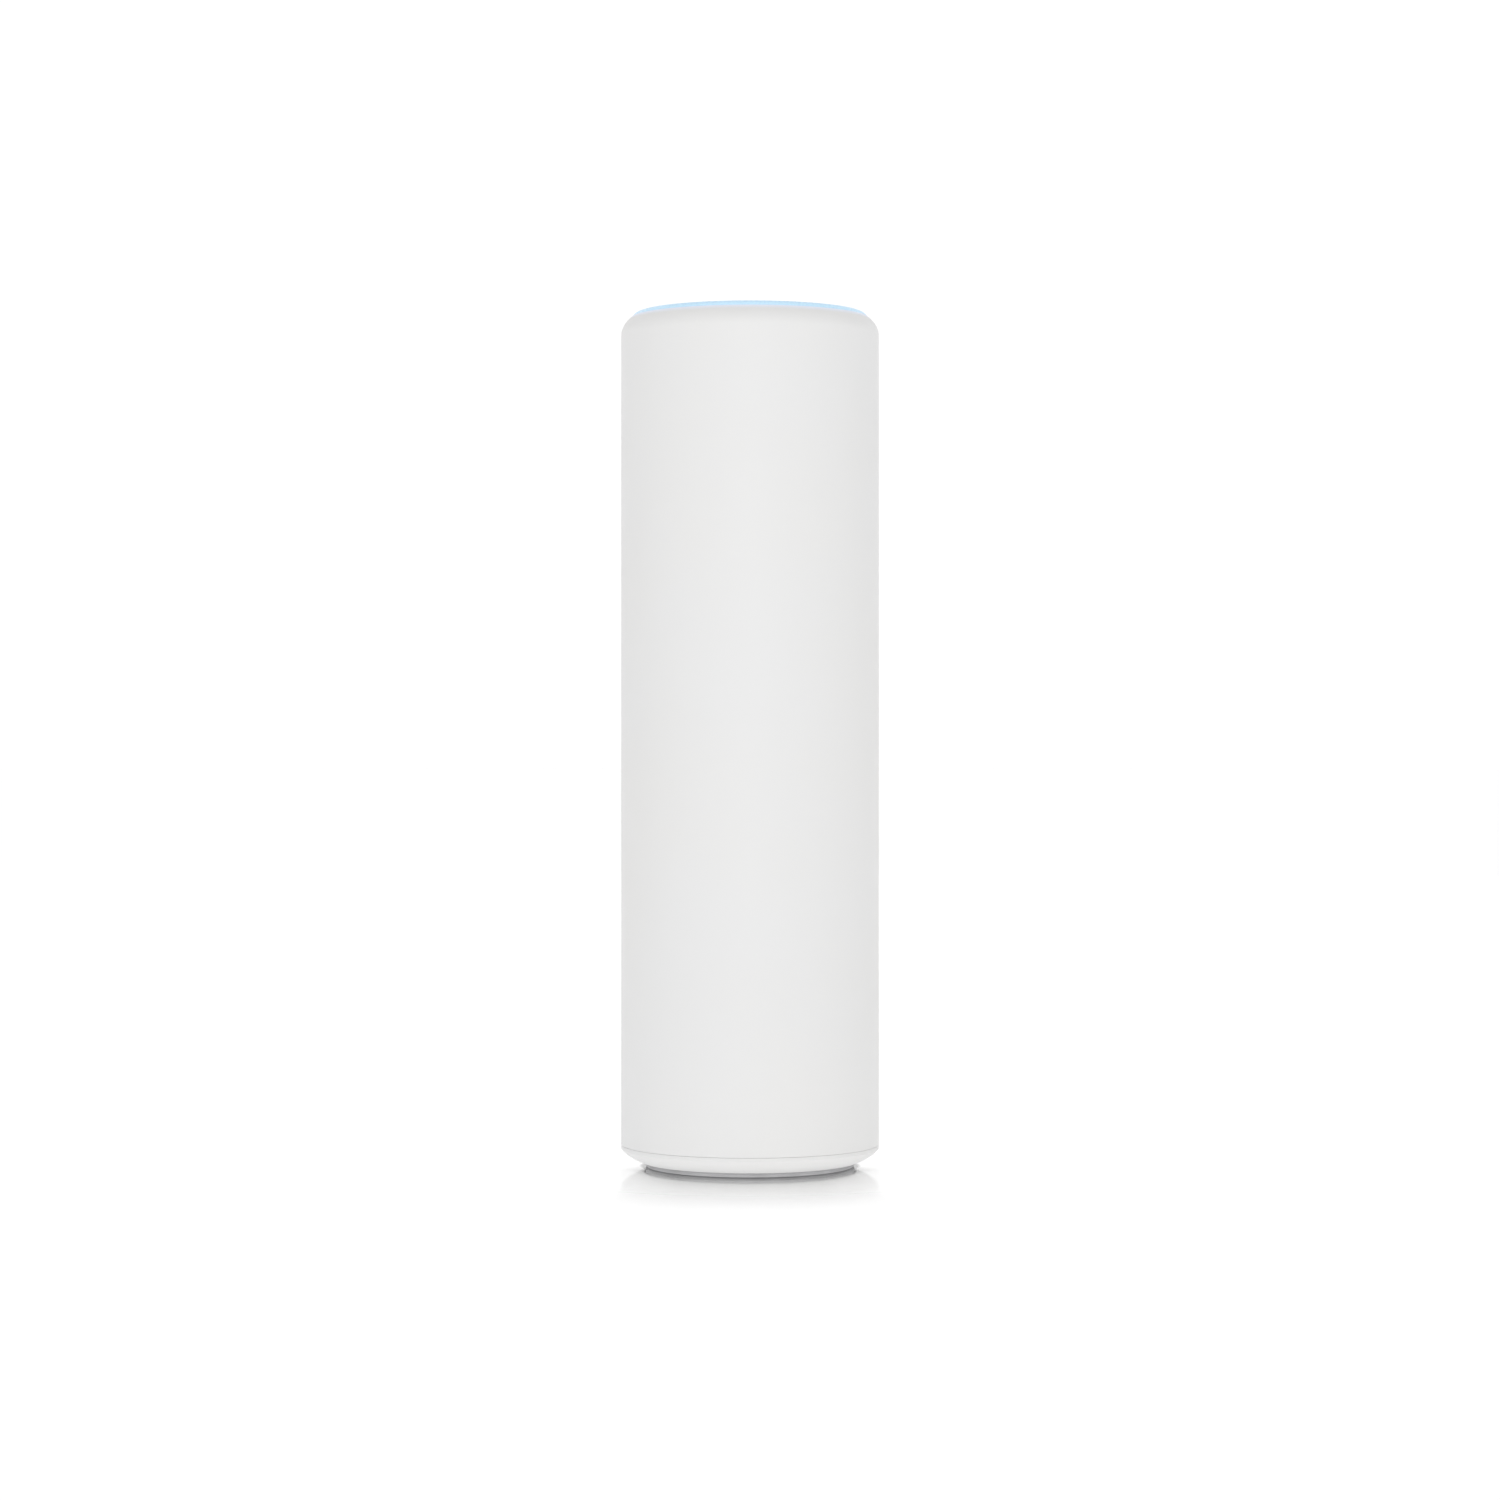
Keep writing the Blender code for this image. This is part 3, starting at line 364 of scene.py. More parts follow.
# ---- material tools
class Nodes:
    """Helpers that add nodes in front of the shader of a material or a world."""

    def __init__(self, owner, shader, space):
        owner.use_nodes = True
        self.nodes, self.links = owner.node_tree.nodes, owner.node_tree.links
        self.shader = self.nodes[shader]
        self.place = self.nodes.new("ShaderNodeTexCoord").outputs[space]

    def node(self, kind, inputs=None, **settings):
        made = self.nodes.new(kind)
        for name, value in settings.items():
            setattr(made, name, value)
        for name, value in (inputs or {}).items():
            if isinstance(value, bpy.types.NodeSocket):
                self.links.new(value, made.inputs[name])
            else:
                made.inputs[name].default_value = value
        return made

    def stretched(self, scale):
        """The coordinates with a scale for each axis."""
        return self.node("ShaderNodeMapping", {"Vector": self.place, "Scale": scale}).outputs[0]

    def noise(self, size, detail=3.0, place=None):
        """Noise whose features are about this many millimetres across."""
        inputs = {"Vector": place or self.place, "Scale": 1 / (size * MM), "Detail": detail}
        return self.node("ShaderNodeTexNoise", inputs).outputs[0]

    def cells(self, size, place=None):
        """Distances from scattered points, about this many millimetres apart."""
        inputs = {"Vector": place or self.place, "Scale": 1 / (size * MM)}
        return self.node("ShaderNodeTexVoronoi", inputs).outputs[0]

    def ramp(self, value, low, high, start=0.35, end=0.65, shape="LINEAR"):
        """Maps a value between two numbers."""
        inputs = {"Value": value, "From Min": start, "From Max": end, "To Min": low, "To Max": high}
        return self.node("ShaderNodeMapRange", inputs, interpolation_type=shape).outputs[0]

    def math(self, operation, first, second=0.0):
        return self.node("ShaderNodeMath", {0: first, 1: second}, operation=operation).outputs[0]

    def mix(self, factor, first, second):
        """Mixes two colours or colour sockets."""
        made = self.node("ShaderNodeMix", {"Factor": factor}, data_type="RGBA")
        for socket, colour in ((made.inputs[6], first), (made.inputs[7], second)):
            if isinstance(colour, bpy.types.NodeSocket):
                self.links.new(colour, socket)
            else:
                socket.default_value = (*colour, 1)
        return made.outputs[2]

    def axes(self):
        """The coordinates as three sockets."""
        return self.node("ShaderNodeSeparateXYZ", {0: self.place}).outputs

    def feed(self, name, socket):
        self.links.new(socket, self.shader.inputs[name])


class Finish(Nodes):
    """A Principled material whose procedural detail lies in the object's own coordinates."""

    def __init__(self, name, colour, roughness, metallic=0.0):
        self.material = bpy.data.materials.new(name)
        super().__init__(self.material, "Principled BSDF", "Object")
        self.shader.inputs["Base Color"].default_value = (*colour, 1)
        self.shader.inputs["Roughness"].default_value = roughness
        self.shader.inputs["Metallic"].default_value = metallic

    def colour(self, socket):
        self.feed("Base Color", socket)

    def tint(self, value, first, second):
        """The base colour drifts between two colours with the value."""
        self.colour(self.mix(self.ramp(value, 0.0, 1.0), first, second))

    def rough(self, value, *span):
        """The roughness is the value, or the value ramped over the span."""
        self.feed("Roughness", self.ramp(value, *span) if span else value)

    def bump(self, *layers):
        """Each layer is (height socket, depth in millimetres, strength)."""
        normal = None
        for height, depth, strength in layers:
            inputs = {"Height": height, "Distance": depth * MM, "Strength": strength}
            if normal:
                inputs["Normal"] = normal
            normal = self.node("ShaderNodeBump", inputs).outputs[0]
        self.feed("Normal", normal)


# ---- materials
# Each function returns a look: the material and its slot.
def white_moulding(name="White moulding", lip_glow=0.0):
    """Matt white plastic: a fine grain over a very slight waviness. Its lip may carry a painted glow from
    the light ring.
    """
    colour = (0.80, 0.80, 0.80)
    finish = Finish(name, colour, 0.42)
    tone = finish.noise(35, 2)
    warm = tuple(c * f for c, f in zip(colour, (1.0, 0.996, 0.988)))
    finish.tint(tone, colour, warm)
    grain = finish.noise(0.28, 3)
    wave = finish.noise(9, 1)
    gloss = finish.math("ADD", finish.ramp(grain, -0.04, 0.04), finish.ramp(wave, 0.40, 0.45))
    finish.rough(gloss)
    finish.bump((wave, 0.02, 0.25), (grain, 0.012, 0.35))
    if lip_glow:
        start, end = LAMP_EDGE - 0.75 * MM, LAMP_EDGE + 0.1 * MM
        # painted glow: the shell's lip emits a little blue light just below the light ring, in place of the
        # ring's light falling on it
        painted_lip_glow = finish.ramp(finish.axes()[2], 0.0, lip_glow, start, end, "SMOOTHSTEP")
        finish.feed("Emission Strength", painted_lip_glow)
        finish.shader.inputs["Emission Color"].default_value = (0.25, 0.42, 1.0, 1)
    return finish.material, "casing_plastic"


def light_guide():
    """Opal plastic lit from below by six lights, so it is a little brighter over each of them."""
    finish = Finish("Opal light guide", (0.55, 0.78, 0.93), 0.28)
    x, y, z = finish.axes()
    angle = finish.math("ARCTAN2", y, x)
    beat = finish.math("COSINE", finish.math("ADD", finish.math("MULTIPLY", angle, 6.0), math.pi))
    cloud = finish.noise(2.5, 2)
    level = finish.math("MULTIPLY", finish.ramp(beat, 0.86, 1.0, -1.0, 1.0), finish.ramp(cloud, 0.96, 1.04))
    height = finish.ramp(z, 0.0, 1.0, LAMP_EDGE + 0.3 * MM, HEIGHT)
    glow = finish.mix(height, (0.52, 0.74, 1.0), (0.10, 0.47, 1.0))
    finish.feed("Emission Color", glow)
    finish.feed("Emission Strength", finish.math("MULTIPLY", level, 0.12))
    finish.rough(finish.noise(0.4), 0.24, 0.32)
    finish.bump((finish.noise(0.4), 0.006, 0.3))
    return finish.material, "light_guide"


def grey_rubber(name="Grey rubber", colour=(0.48, 0.48, 0.49)):
    """Matt silicone with a dusty bloom and fine pits."""
    finish = Finish(name, colour, 0.75)
    bloom = finish.noise(4, 4)
    pale = tuple(c * 1.12 + 0.01 for c in colour)
    finish.tint(bloom, colour, pale)
    finish.rough(bloom, 0.68, 0.82)
    finish.bump((finish.cells(0.35), 0.02, 0.3), (finish.noise(0.15), 0.01, 0.3))
    return finish.material, "foot_rubber"


def black_moulding():
    """Black glass-filled plastic: a fine grain and faint flow marks."""
    finish = Finish("Black moulding", (0.030, 0.030, 0.032), 0.45)
    flow = finish.noise(6, 3, finish.stretched((1, 1, 0.25)))
    finish.tint(flow, (0.024, 0.024, 0.026), (0.040, 0.040, 0.043))
    grain = finish.noise(0.25, 4)
    gloss = finish.math("ADD", finish.math("MULTIPLY", grain, 0.5), flow)
    finish.rough(gloss, 0.38, 0.56, 0.5, 1.0)
    finish.bump((grain, 0.02, 0.4), (flow, 0.01, 0.2))
    return finish.material, "inner_plastic"


def grey_moulding():
    """Light grey moulded button, a little polished where fingers and pins press it."""
    finish = Finish("Grey moulding", (0.35, 0.36, 0.37), 0.5)
    tone = finish.noise(1.2, 2)
    finish.tint(tone, (0.33, 0.34, 0.35), (0.38, 0.39, 0.40))
    finish.rough(tone, 0.40, 0.56)
    finish.bump((finish.noise(0.15), 0.01, 0.35))
    return finish.material, "button_plastic"


def bright_white():
    """Smooth white plastic of the reflector, with a very slight ripple."""
    finish = Finish("Bright white", (0.85, 0.85, 0.85), 0.3)
    ripple = finish.noise(3, 2)
    finish.tint(ripple, (0.848, 0.848, 0.845), (0.856, 0.856, 0.856))
    finish.rough(ripple, 0.29, 0.32)
    finish.bump((ripple, 0.008, 0.1), (finish.noise(0.2), 0.003, 0.2))
    return finish.material, "reflector_plastic"


def circuit_board(name, second_axis):
    """Green solder mask over copper: runs of parallel traces, across and along, with round vias."""
    finish = Finish(name, (0.02, 0.10, 0.06), 0.35)
    axes = finish.axes()
    first, second = axes[0], axes[second_axis]
    flat = finish.node("ShaderNodeCombineXYZ", {0: first, 1: second}).outputs[0]
    stripes = []
    for value in (first, second):
        wave = finish.math("PINGPONG", finish.math("ADD", value, 1.0), 0.3 * MM)
        stripes.append(finish.math("GREATER_THAN", wave, 0.16 * MM))
    block = {"Vector": flat, "Scale": 1 / (4.2 * MM)}
    patch = finish.node("ShaderNodeTexVoronoi", block, distance="MANHATTAN").outputs["Color"]
    patch_value = finish.node("ShaderNodeSeparateColor", {0: patch}).outputs[0]
    way = finish.math("GREATER_THAN", patch_value, 0.5)
    bare = finish.math("LESS_THAN", finish.math("PINGPONG", patch_value, 0.25), 0.07)
    across = finish.math("MULTIPLY", stripes[0], way)
    along = finish.math("MULTIPLY", stripes[1], finish.math("SUBTRACT", 1.0, way))
    trace = finish.math("MAXIMUM", finish.math("ADD", across, along), bare)
    spots = finish.cells(1.9, flat)
    via = finish.math("LESS_THAN", spots, 0.15)
    hole = finish.math("LESS_THAN", spots, 0.07)
    mask = finish.mix(trace, (0.012, 0.075, 0.040), (0.022, 0.130, 0.066))
    plated = finish.mix(via, mask, (0.75, 0.56, 0.24))
    finish.colour(finish.mix(hole, plated, (0.01, 0.02, 0.015)))
    finish.rough(finish.noise(1.5, 2), 0.28, 0.40)
    raised = finish.math("SUBTRACT", finish.math("MAXIMUM", trace, via), hole)
    finish.bump((raised, 0.03, 0.5), (finish.noise(0.3, 2), 0.004, 0.3))
    return finish.material, "circuit_board"


def speckled(name, slot, painted_shadow, light, roughness, grain_size, pits):
    """A cast or sintered body: mottled, grainy and slightly pitted."""
    finish = Finish(name, painted_shadow, roughness)
    grain = finish.noise(grain_size, 4)
    finish.tint(grain, painted_shadow, light)
    finish.rough(finish.noise(grain_size * 6, 2), roughness - 0.08, roughness + 0.08)
    finish.bump((finish.cells(grain_size * 2), pits, 0.5), (grain, pits / 2, 0.4))
    return finish.material, slot


def drawn_metal(name, slot, colour, roughness, grain, spangle=0.0):
    """Rolled, drawn or plated metal. grain stretches its lines; spangle is the size of its crystals."""
    finish = Finish(name, colour, roughness, 1.0)
    lines = finish.noise(0.25, 4, finish.stretched(grain))
    cloud = finish.noise(3, 2)
    worn = tuple(c * 0.86 for c in colour)
    finish.tint(cloud, colour, worn)
    patches = finish.ramp(cloud, roughness - 0.04, roughness + 0.05)
    gloss = finish.math("ADD", finish.ramp(lines, -0.06, 0.08), patches)
    layers = [(lines, 0.008, 0.35)]
    if spangle:
        crystals = finish.cells(spangle)
        gloss = finish.math("ADD", gloss, finish.ramp(crystals, -0.05, 0.06, 0.0, 1.0))
        layers.append((crystals, 0.006, 0.25))
    finish.rough(gloss)
    finish.bump(*layers)
    return finish.material, slot


def lead_jacket():
    """Black coax jacket with a faint draw line and a soft gloss."""
    finish = Finish("Lead jacket", (0.05, 0.05, 0.055), 0.42)
    cloud = finish.noise(2, 3)
    finish.tint(cloud, (0.040, 0.040, 0.045), (0.085, 0.085, 0.09))
    finish.rough(cloud, 0.34, 0.52)
    finish.bump((finish.noise(0.2, 3), 0.01, 0.4))
    return finish.material, "lead_jacket"


def flat_cable():
    """White flat cable whose conductors show as ribs under the film."""
    finish = Finish("Flat cable", (0.80, 0.80, 0.78), 0.35)
    wave = finish.math("PINGPONG", finish.math("ADD", finish.axes()[0], 1.0), 0.25 * MM)
    rib = finish.ramp(wave, 0.0, 1.0, 0.05 * MM, 0.2 * MM)
    finish.colour(finish.mix(rib, (0.84, 0.84, 0.82), (0.66, 0.67, 0.68)))
    finish.rough(finish.noise(2, 2), 0.28, 0.42)
    finish.bump((rib, 0.04, 0.6))
    return finish.material, "flat_cable"


def thermal_pad():
    """Soft blue-grey filled silicone with the faint print of its liner."""
    finish = Finish("Thermal pad", (0.45, 0.53, 0.62), 0.8)
    cloud = finish.noise(1.5, 4)
    finish.tint(cloud, (0.42, 0.50, 0.60), (0.55, 0.62, 0.70))
    finish.rough(cloud, 0.70, 0.90)
    finish.bump((finish.cells(0.7), 0.05, 0.4), (finish.noise(0.2), 0.02, 0.4))
    return finish.material, "thermal_pad"


def led_resin():
    """White LED body with yellow phosphor on its upper face."""
    finish = Finish("LED resin", (0.88, 0.88, 0.84), 0.3)
    facing = finish.node("ShaderNodeSeparateXYZ", {0: finish.nodes["Texture Coordinate"].outputs["Normal"]})
    top = finish.math("GREATER_THAN", facing.outputs[2], 0.9)
    grain = finish.noise(0.08, 3)
    phosphor = finish.mix(finish.ramp(grain, 0.0, 1.0), (0.86, 0.70, 0.12), (0.92, 0.80, 0.26))
    body = finish.mix(finish.ramp(grain, 0.0, 1.0), (0.84, 0.84, 0.81), (0.90, 0.90, 0.88))
    finish.colour(finish.mix(top, body, phosphor))
    finish.rough(grain, 0.22, 0.40)
    finish.bump((grain, 0.01, 0.3))
    return finish.material, "led_resin"


# ---- casing
def spoke(angle, distance):
    """XY at an angle in degrees from +X and a distance from the axis."""
    return Vector((math.cos(math.radians(angle)), math.sin(math.radians(angle)))) * distance


def shell_skirt():
    """The shell's lowest stretch with its cable outlet, shaped flat, rounded and then wrapped round."""
    half_turn = math.pi * BODY_RADIUS
    corner = OUTLET_CORNER
    right = [(half_turn, SHELL_BOTTOM), (OUTLET_HALF + corner, SHELL_BOTTOM)]
    right += arc((OUTLET_HALF + corner, SHELL_BOTTOM + corner), (corner, corner), 262, 188, 6)
    right += arc((0, OUTLET_SPRING), (OUTLET_HALF, OUTLET_HALF), 0, 86, 16)
    left = [(-x, z) for x, z in reversed(right)]
    crown = (0, OUTLET_SPRING + OUTLET_HALF)
    outline = [(half_turn, SKIRT_TOP), *right, crown, *left, (-half_turn, SKIRT_TOP)]
    shape = bmesh.new()
    sides = []
    for depth in (INNER_RADIUS, BODY_RADIUS):
        sides.append([shape.verts.new((x, depth, z)) for x, z in outline])
        shape.faces.new(sides[-1])
    for i in range(1, len(outline) - 2):
        shape.faces.new([sides[0][i], sides[0][i + 1], sides[1][i + 1], sides[1][i]])
    bmesh.ops.recalc_face_normals(shape, faces=shape.faces)
    rims = []
    for edge in shape.edges:
        along_wall = edge.verts[0].co.y == edge.verts[1].co.y
        if along_wall and len(edge.link_faces) == 2 and edge.calc_face_angle() > RIM_ANGLE:
            rims.append(edge)
    ease = {"offset": RIM_EASE, "segments": 2, "profile": 0.5, "affect": "EDGES", "clamp_overlap": False}
    bmesh.ops.bevel(shape, geom=rims, **ease)
    for i in range(1, STEPS):
        cut = -half_turn + 2 * half_turn * i / STEPS
        parts = [*shape.verts, *shape.edges, *shape.faces]
        bmesh.ops.bisect_plane(shape, geom=parts, dist=1e-7, plane_co=(cut, 0, 0), plane_no=(1, 0, 0))
    for vert in shape.verts:
        angle, radius = vert.co.x / BODY_RADIUS, vert.co.y
        vert.co = (radius * math.sin(angle), radius * math.cos(angle), vert.co.z)
    return shape


def make_shell(white):
    """The tube with its shoulder, lip and outlet, and inside it the lock's lugs and the screw bosses."""
    lip, skirt_room = LAMP_OUTER + SEAM, LAMP_SKIRT + GAP
    centre = BODY_RADIUS - SHOULDER_RUN
    last = math.degrees(math.acos((lip + 0.12 * MM - centre) / SHOULDER_RUN))
    shoulder = arc((centre, SHOULDER_START), (SHOULDER_RUN, SHOULDER_RISE), 0, last, 20)
    profile = [
        (BODY_RADIUS, SKIRT_TOP), (BODY_RADIUS, SHOULDER_START / 2), *shoulder,
        (lip, SHOULDER_START + 3.42 * MM), (lip, LAMP_LEDGE - GAP), (skirt_room, LAMP_LEDGE - GAP),
        (skirt_room, HEIGHT - 7.0 * MM), (INNER_RADIUS, HEIGHT - 7.5 * MM), (INNER_RADIUS, SKIRT_TOP),
    ]
    shape = merged([revolved(profile, closed=False), shell_skirt()])
    bmesh.ops.remove_doubles(shape, verts=shape.verts, dist=0.02 * MM)
    buried = INNER_RADIUS + 0.4 * MM  # ends inside the wall
    tip, bottom, top = LUG_BOX
    inside = [ring_sector(tip, buried, bottom, top, a - LUG_HALF, a + LUG_HALF) for a in LUG_ANGLES]
    low, high = PANEL_TOP + GAP, PANEL_TOP + GAP + BOSS_LENGTH
    holes = []
    for angle in BOSS_ANGLES:
        centre = spoke(angle, BOSS_DISTANCE)
        inside.append(rod(centre, BOSS_RADIUS, low, high))
        first, last = angle - WEB_HALF, angle + WEB_HALF
        inside.append(ring_sector(WEB_RADIUS, buried, low + 0.5 * MM, high - 0.5 * MM, first, last))
        holes.append(rod(centre, SCREW_HOLE, low - 1 * MM, high - 1.5 * MM))
    shape = carved(shape, holes, inside)
    add_piece("shell_surface", shape, white, "outer_shell")


def make_lamp(opal, white):
    """The light ring with its rounded crown, and the cap that sits inside it."""
    crown = arc((LAMP_INNER, LAMP_EDGE), (LAMP_OUTER - LAMP_INNER, HEIGHT - LAMP_EDGE), 0, 90, 14)
    ring = [
        *crown, (LAMP_INNER, LAMP_BOTTOM), (LAMP_SKIRT, LAMP_BOTTOM), (LAMP_SKIRT, LAMP_LEDGE),
        (LAMP_OUTER, LAMP_LEDGE),
    ]
    add_piece("light_ring_surface", revolved(ring), opal, "light_ring")
    edge = LAMP_INNER - SEAM
    spigot_inner, spigot_outer = CAP_SPIGOT
    cap = rounded([
        (0, CAP_UNDERSIDE), (spigot_inner, CAP_UNDERSIDE), (spigot_inner, CAP_SPIGOT_BOTTOM),
        (spigot_outer, CAP_SPIGOT_BOTTOM), (spigot_outer, CAP_UNDERSIDE), (edge, CAP_UNDERSIDE),
        (edge, CAP_TOP, 0.35), (0, CAP_TOP),
    ])
    add_piece("top_cap_surface", revolved(cap, closed=False), white, "top_cap")


def make_base(white, rubber, seal):
    """The dish with its collar, the three locking slots and the gap for the cable."""
    start = Vector((BODY_RADIUS, 3.5 * MM))
    pull = Vector((23.4, 2.2)) * MM
    end = Vector((FOOT_RADII[1] + 0.7 * MM, FOOT_LIFT))
    shares = [i / 16 for i in range(17)]
    curve = [tuple(start * (1 - t) ** 2 + pull * 2 * t * (1 - t) + end * t**2) for t in shares]
    recess_inner, recess_outer = FOOT_RADII[0] - GAP, FOOT_RADII[1] + GAP
    groove_inner, groove_outer, groove_floor = SEAT_GROOVE
    profile = rounded([
        (0, FOOT_LIFT), (recess_inner, FOOT_LIFT, 0.15), (recess_inner, FOOT_RECESS),
        (recess_outer, FOOT_RECESS), (recess_outer, FOOT_LIFT, 0.15), *reversed(curve),
        (BODY_RADIUS, DECK, 0.06), (groove_outer, DECK, 0.1), (groove_outer, groove_floor),
        (groove_inner, groove_floor), (groove_inner, DECK, 0.1), (COLLAR_OUTER, DECK, 0.1),
        (COLLAR_OUTER, COLLAR_TOP, 0.5), (COLLAR_INNER, COLLAR_TOP, 0.4), (COLLAR_INNER, BASE_FLOOR, 0.8),
        (0, BASE_FLOOR),
    ])
    above, outside = COLLAR_TOP + 1 * MM, COLLAR_OUTER + 0.9 * MM
    first, last = 90 - LOCK_TURN - CABLE_GAP_HALF, 90 + CABLE_GAP_HALF
    cutters = [ring_sector(18 * MM, outside, CABLE_GAP_FLOOR, above, first, last)]
    for angle in LUG_ANGLES:
        low, high = angle - LUG_HALF - 2, angle + LUG_HALF + 2
        cutters.append(ring_sector(SLOT_DEPTH, outside, SLOT_FLOOR, above, low, high))
        cutters.append(ring_sector(SLOT_DEPTH, outside, SLOT_FLOOR, SLOT_ROOF, low - LOCK_TURN, high - 4))
    shape = carved(revolved(profile, closed=False), cutters)
    add_piece("base_surface", shape, white, "base_dish", body="base")

    inner, outer = FOOT_RADII
    foot_top = FOOT_RECESS - GAP
    ribs = []
    for radius in range(14, 19):
        ribs += [(radius * MM, 0, 0.12), ((radius + 0.55) * MM, 0, 0.12)]
        ribs += [((radius + 0.6) * MM, 0.25 * MM, 0.05), ((radius + 0.95) * MM, 0.25 * MM, 0.05)]
    foot = rounded([(inner, foot_top), (inner, 0, 0.3), *ribs, (outer, 0, 0.3), (outer, foot_top)])
    add_piece("foot_surface", revolved(foot), rubber, "foot_pad", body="base")
    seat = rounded([
        (22.5 * MM, 3.4 * MM, 0.15), (23.5 * MM, 3.4 * MM, 0.15), (23.3 * MM, 4.17 * MM, 0.25),
        (22.7 * MM, 4.17 * MM, 0.25),
    ])
    add_piece("seat_ring_surface", revolved(seat), seal, "seat_ring", body="seat")


# ---- port side
def oblong(half_width, front, back, radius):
    """Four corners with a rounding, centred on X."""
    corners = ((-half_width, front), (half_width, front), (half_width, back), (-half_width, back))
    return [(x, y, radius) for x, y in corners]


def make_port_panel(white, rubber):
    """The panel with a raised surround at the jack, screw seats and the reset hole, and its gasket."""
    groove, groove_radius = (33.5 * MM, 34.6 * MM), 21.1 * MM
    profile = rounded([
        (0, PANEL_BOTTOM), (PANEL_RIM, PANEL_BOTTOM, 0.3), (PANEL_RIM, groove[0], 0.1),
        (groove_radius, groove[0]), (groove_radius, groove[1]), (PANEL_RIM, groove[1], 0.1),
        (PANEL_RIM, PANEL_TOP, 0.1), (0, PANEL_TOP),
    ])
    below, above = PANEL_BOTTOM - 1 * MM, PANEL_TOP + 1 * MM
    lip = rounded(oblong(9.3 * MM, -8.0 * MM, 7.8 * MM, 1.2))
    opening = rounded(oblong(8.35 * MM, -7.05 * MM, 6.9 * MM, 0.5))
    collar = rod((RESET_X, RESET_Y), 2.6 * MM, PANEL_BOTTOM - 0.35 * MM, PANEL_BOTTOM + 0.5 * MM)
    raised = [prism(lip, PANEL_BOTTOM - 0.5 * MM, PANEL_BOTTOM + 0.5 * MM), collar]
    cutters = [prism(opening, below, above), rod((RESET_X, RESET_Y), 1.6 * MM, below, above)]
    for x, y, _ in panel_screw_places():
        cutters.append(rod((x, y), SCREW_HOLE, below, above))
        cutters.append(rod((x, y), SCREW_SEAT, below, PANEL_BOTTOM + 0.25 * MM))
    shape = carved(revolved(profile, closed=False), cutters, raised)
    add_piece("port_panel_surface", shape, white, "port_panel", 0.08)

    inner, outer = groove_radius + 0.05 * MM, PANEL_RIM - 0.05 * MM
    low, high = groove[0] + 0.25 * MM, groove[1] - 0.25 * MM
    gasket = rounded([
        (inner, low, 0.1), (outer, low, 0.2), (outer - 0.25 * MM, (low + high) / 2, 0.1),
        (outer, high, 0.2), (inner, high, 0.1),
    ])
    add_piece("panel_gasket_surface", revolved(gasket), rubber, "panel_gasket")


def make_reset(grey):
    """The reset button, with a domed tip and a collar that keeps it in, and the plunger above it."""
    tip = arc((0, 33.85 * MM), (0.75 * MM, 0.12 * MM), 90, 0, 8)
    button = rounded([
        *tip, (1.0 * MM, 33.6 * MM, 0.12), (1.3 * MM, 33.9 * MM, 0.1), (1.3 * MM, 35.3 * MM),
        (2.1 * MM, 35.3 * MM, 0.15), (2.1 * MM, 36.1 * MM, 0.15), (1.0 * MM, 36.1 * MM),
        (1.0 * MM, 38.5 * MM, 0.2), (0, 38.5 * MM),
    ])
    bottom, top = (corner.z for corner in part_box("reset_plunger"))
    plunger = rounded([(0, bottom), (1.0 * MM, bottom, 0.2), (1.0 * MM, top, 0.1), (0, top)])
    place = Matrix.Translation((RESET_X, RESET_Y, 0))
    for name, shape in (("reset_button", button), ("reset_plunger", plunger)):
        shape = moved(revolved(shape, SMALL_STEPS, closed=False), place)
        add_piece(f"{name}_surface", shape, grey, name, body="reset")


def panel_screw_places():
    """XY of the panel's three screws and then the chassis's two, at the panel's underside."""
    places = [Vector((*spoke(angle, BOSS_DISTANCE), PANEL_BOTTOM)) for angle in BOSS_ANGLES]
    return places + [Vector((side * CHASSIS_SCREW_X, CHASSIS_SCREW_Y, PANEL_BOTTOM)) for side in (-1, 1)]


def screw_shape(length):
    """A pan-head screw along +Z with a cross recess and a real helical thread. Its seat is at the origin."""
    pitch, core, ridge = 0.5 * MM, 0.82 * MM, 0.18 * MM
    steps, slices = 20, 6
    head = [(0, -1.6 * MM), *arc((1.3 * MM, -1.0 * MM), (0.6 * MM, 0.6 * MM), 270, 360, 7), (1.9 * MM, 0)]
    shank = [(core, 0), (core, 0.4 * MM)]
    rows = [(radius, z, 0.0) for radius, z in head + shank]
    first, last = 0.45 * MM, length - 0.9 * MM
    count = math.ceil((last - first) / pitch * slices)
    rows += [(core, first + (last - first) * i / count, ridge) for i in range(count + 1)]
    rows += [(core, length - 0.8 * MM, 0.0), (0.3 * MM, length - 0.1 * MM, 0.0), (0, length, 0.0)]
    shape = bmesh.new()
    rings = []
    for radius, z, depth in rows:
        ring = []
        for i in range(steps):
            phase = (z / pitch - i / steps) % 1
            reach = radius + depth * max(0.0, 1 - abs(phase - 0.5) * 3)
            angle = math.tau * i / steps
            ring.append((reach * math.cos(angle), reach * math.sin(angle), z))
        if radius < ON_AXIS:
            ring = [shape.verts.new((0, 0, z))] * steps
        else:
            ring = [shape.verts.new(corner) for corner in ring]
        rings.append(ring)
    add_walls(shape, rings)
    cross = []
    for wide, deep in ((1.15, 0.24), (0.24, 1.15)):
        slot = box_shape(*in_mm((-wide, -deep, -1.9), (wide, deep, -0.75)))
        for vert in slot.verts:
            if vert.co.z > -1 * MM:
                vert.co.xy *= CROSS_TAPER
        cross.append(slot)
    return carved(shape, cross)


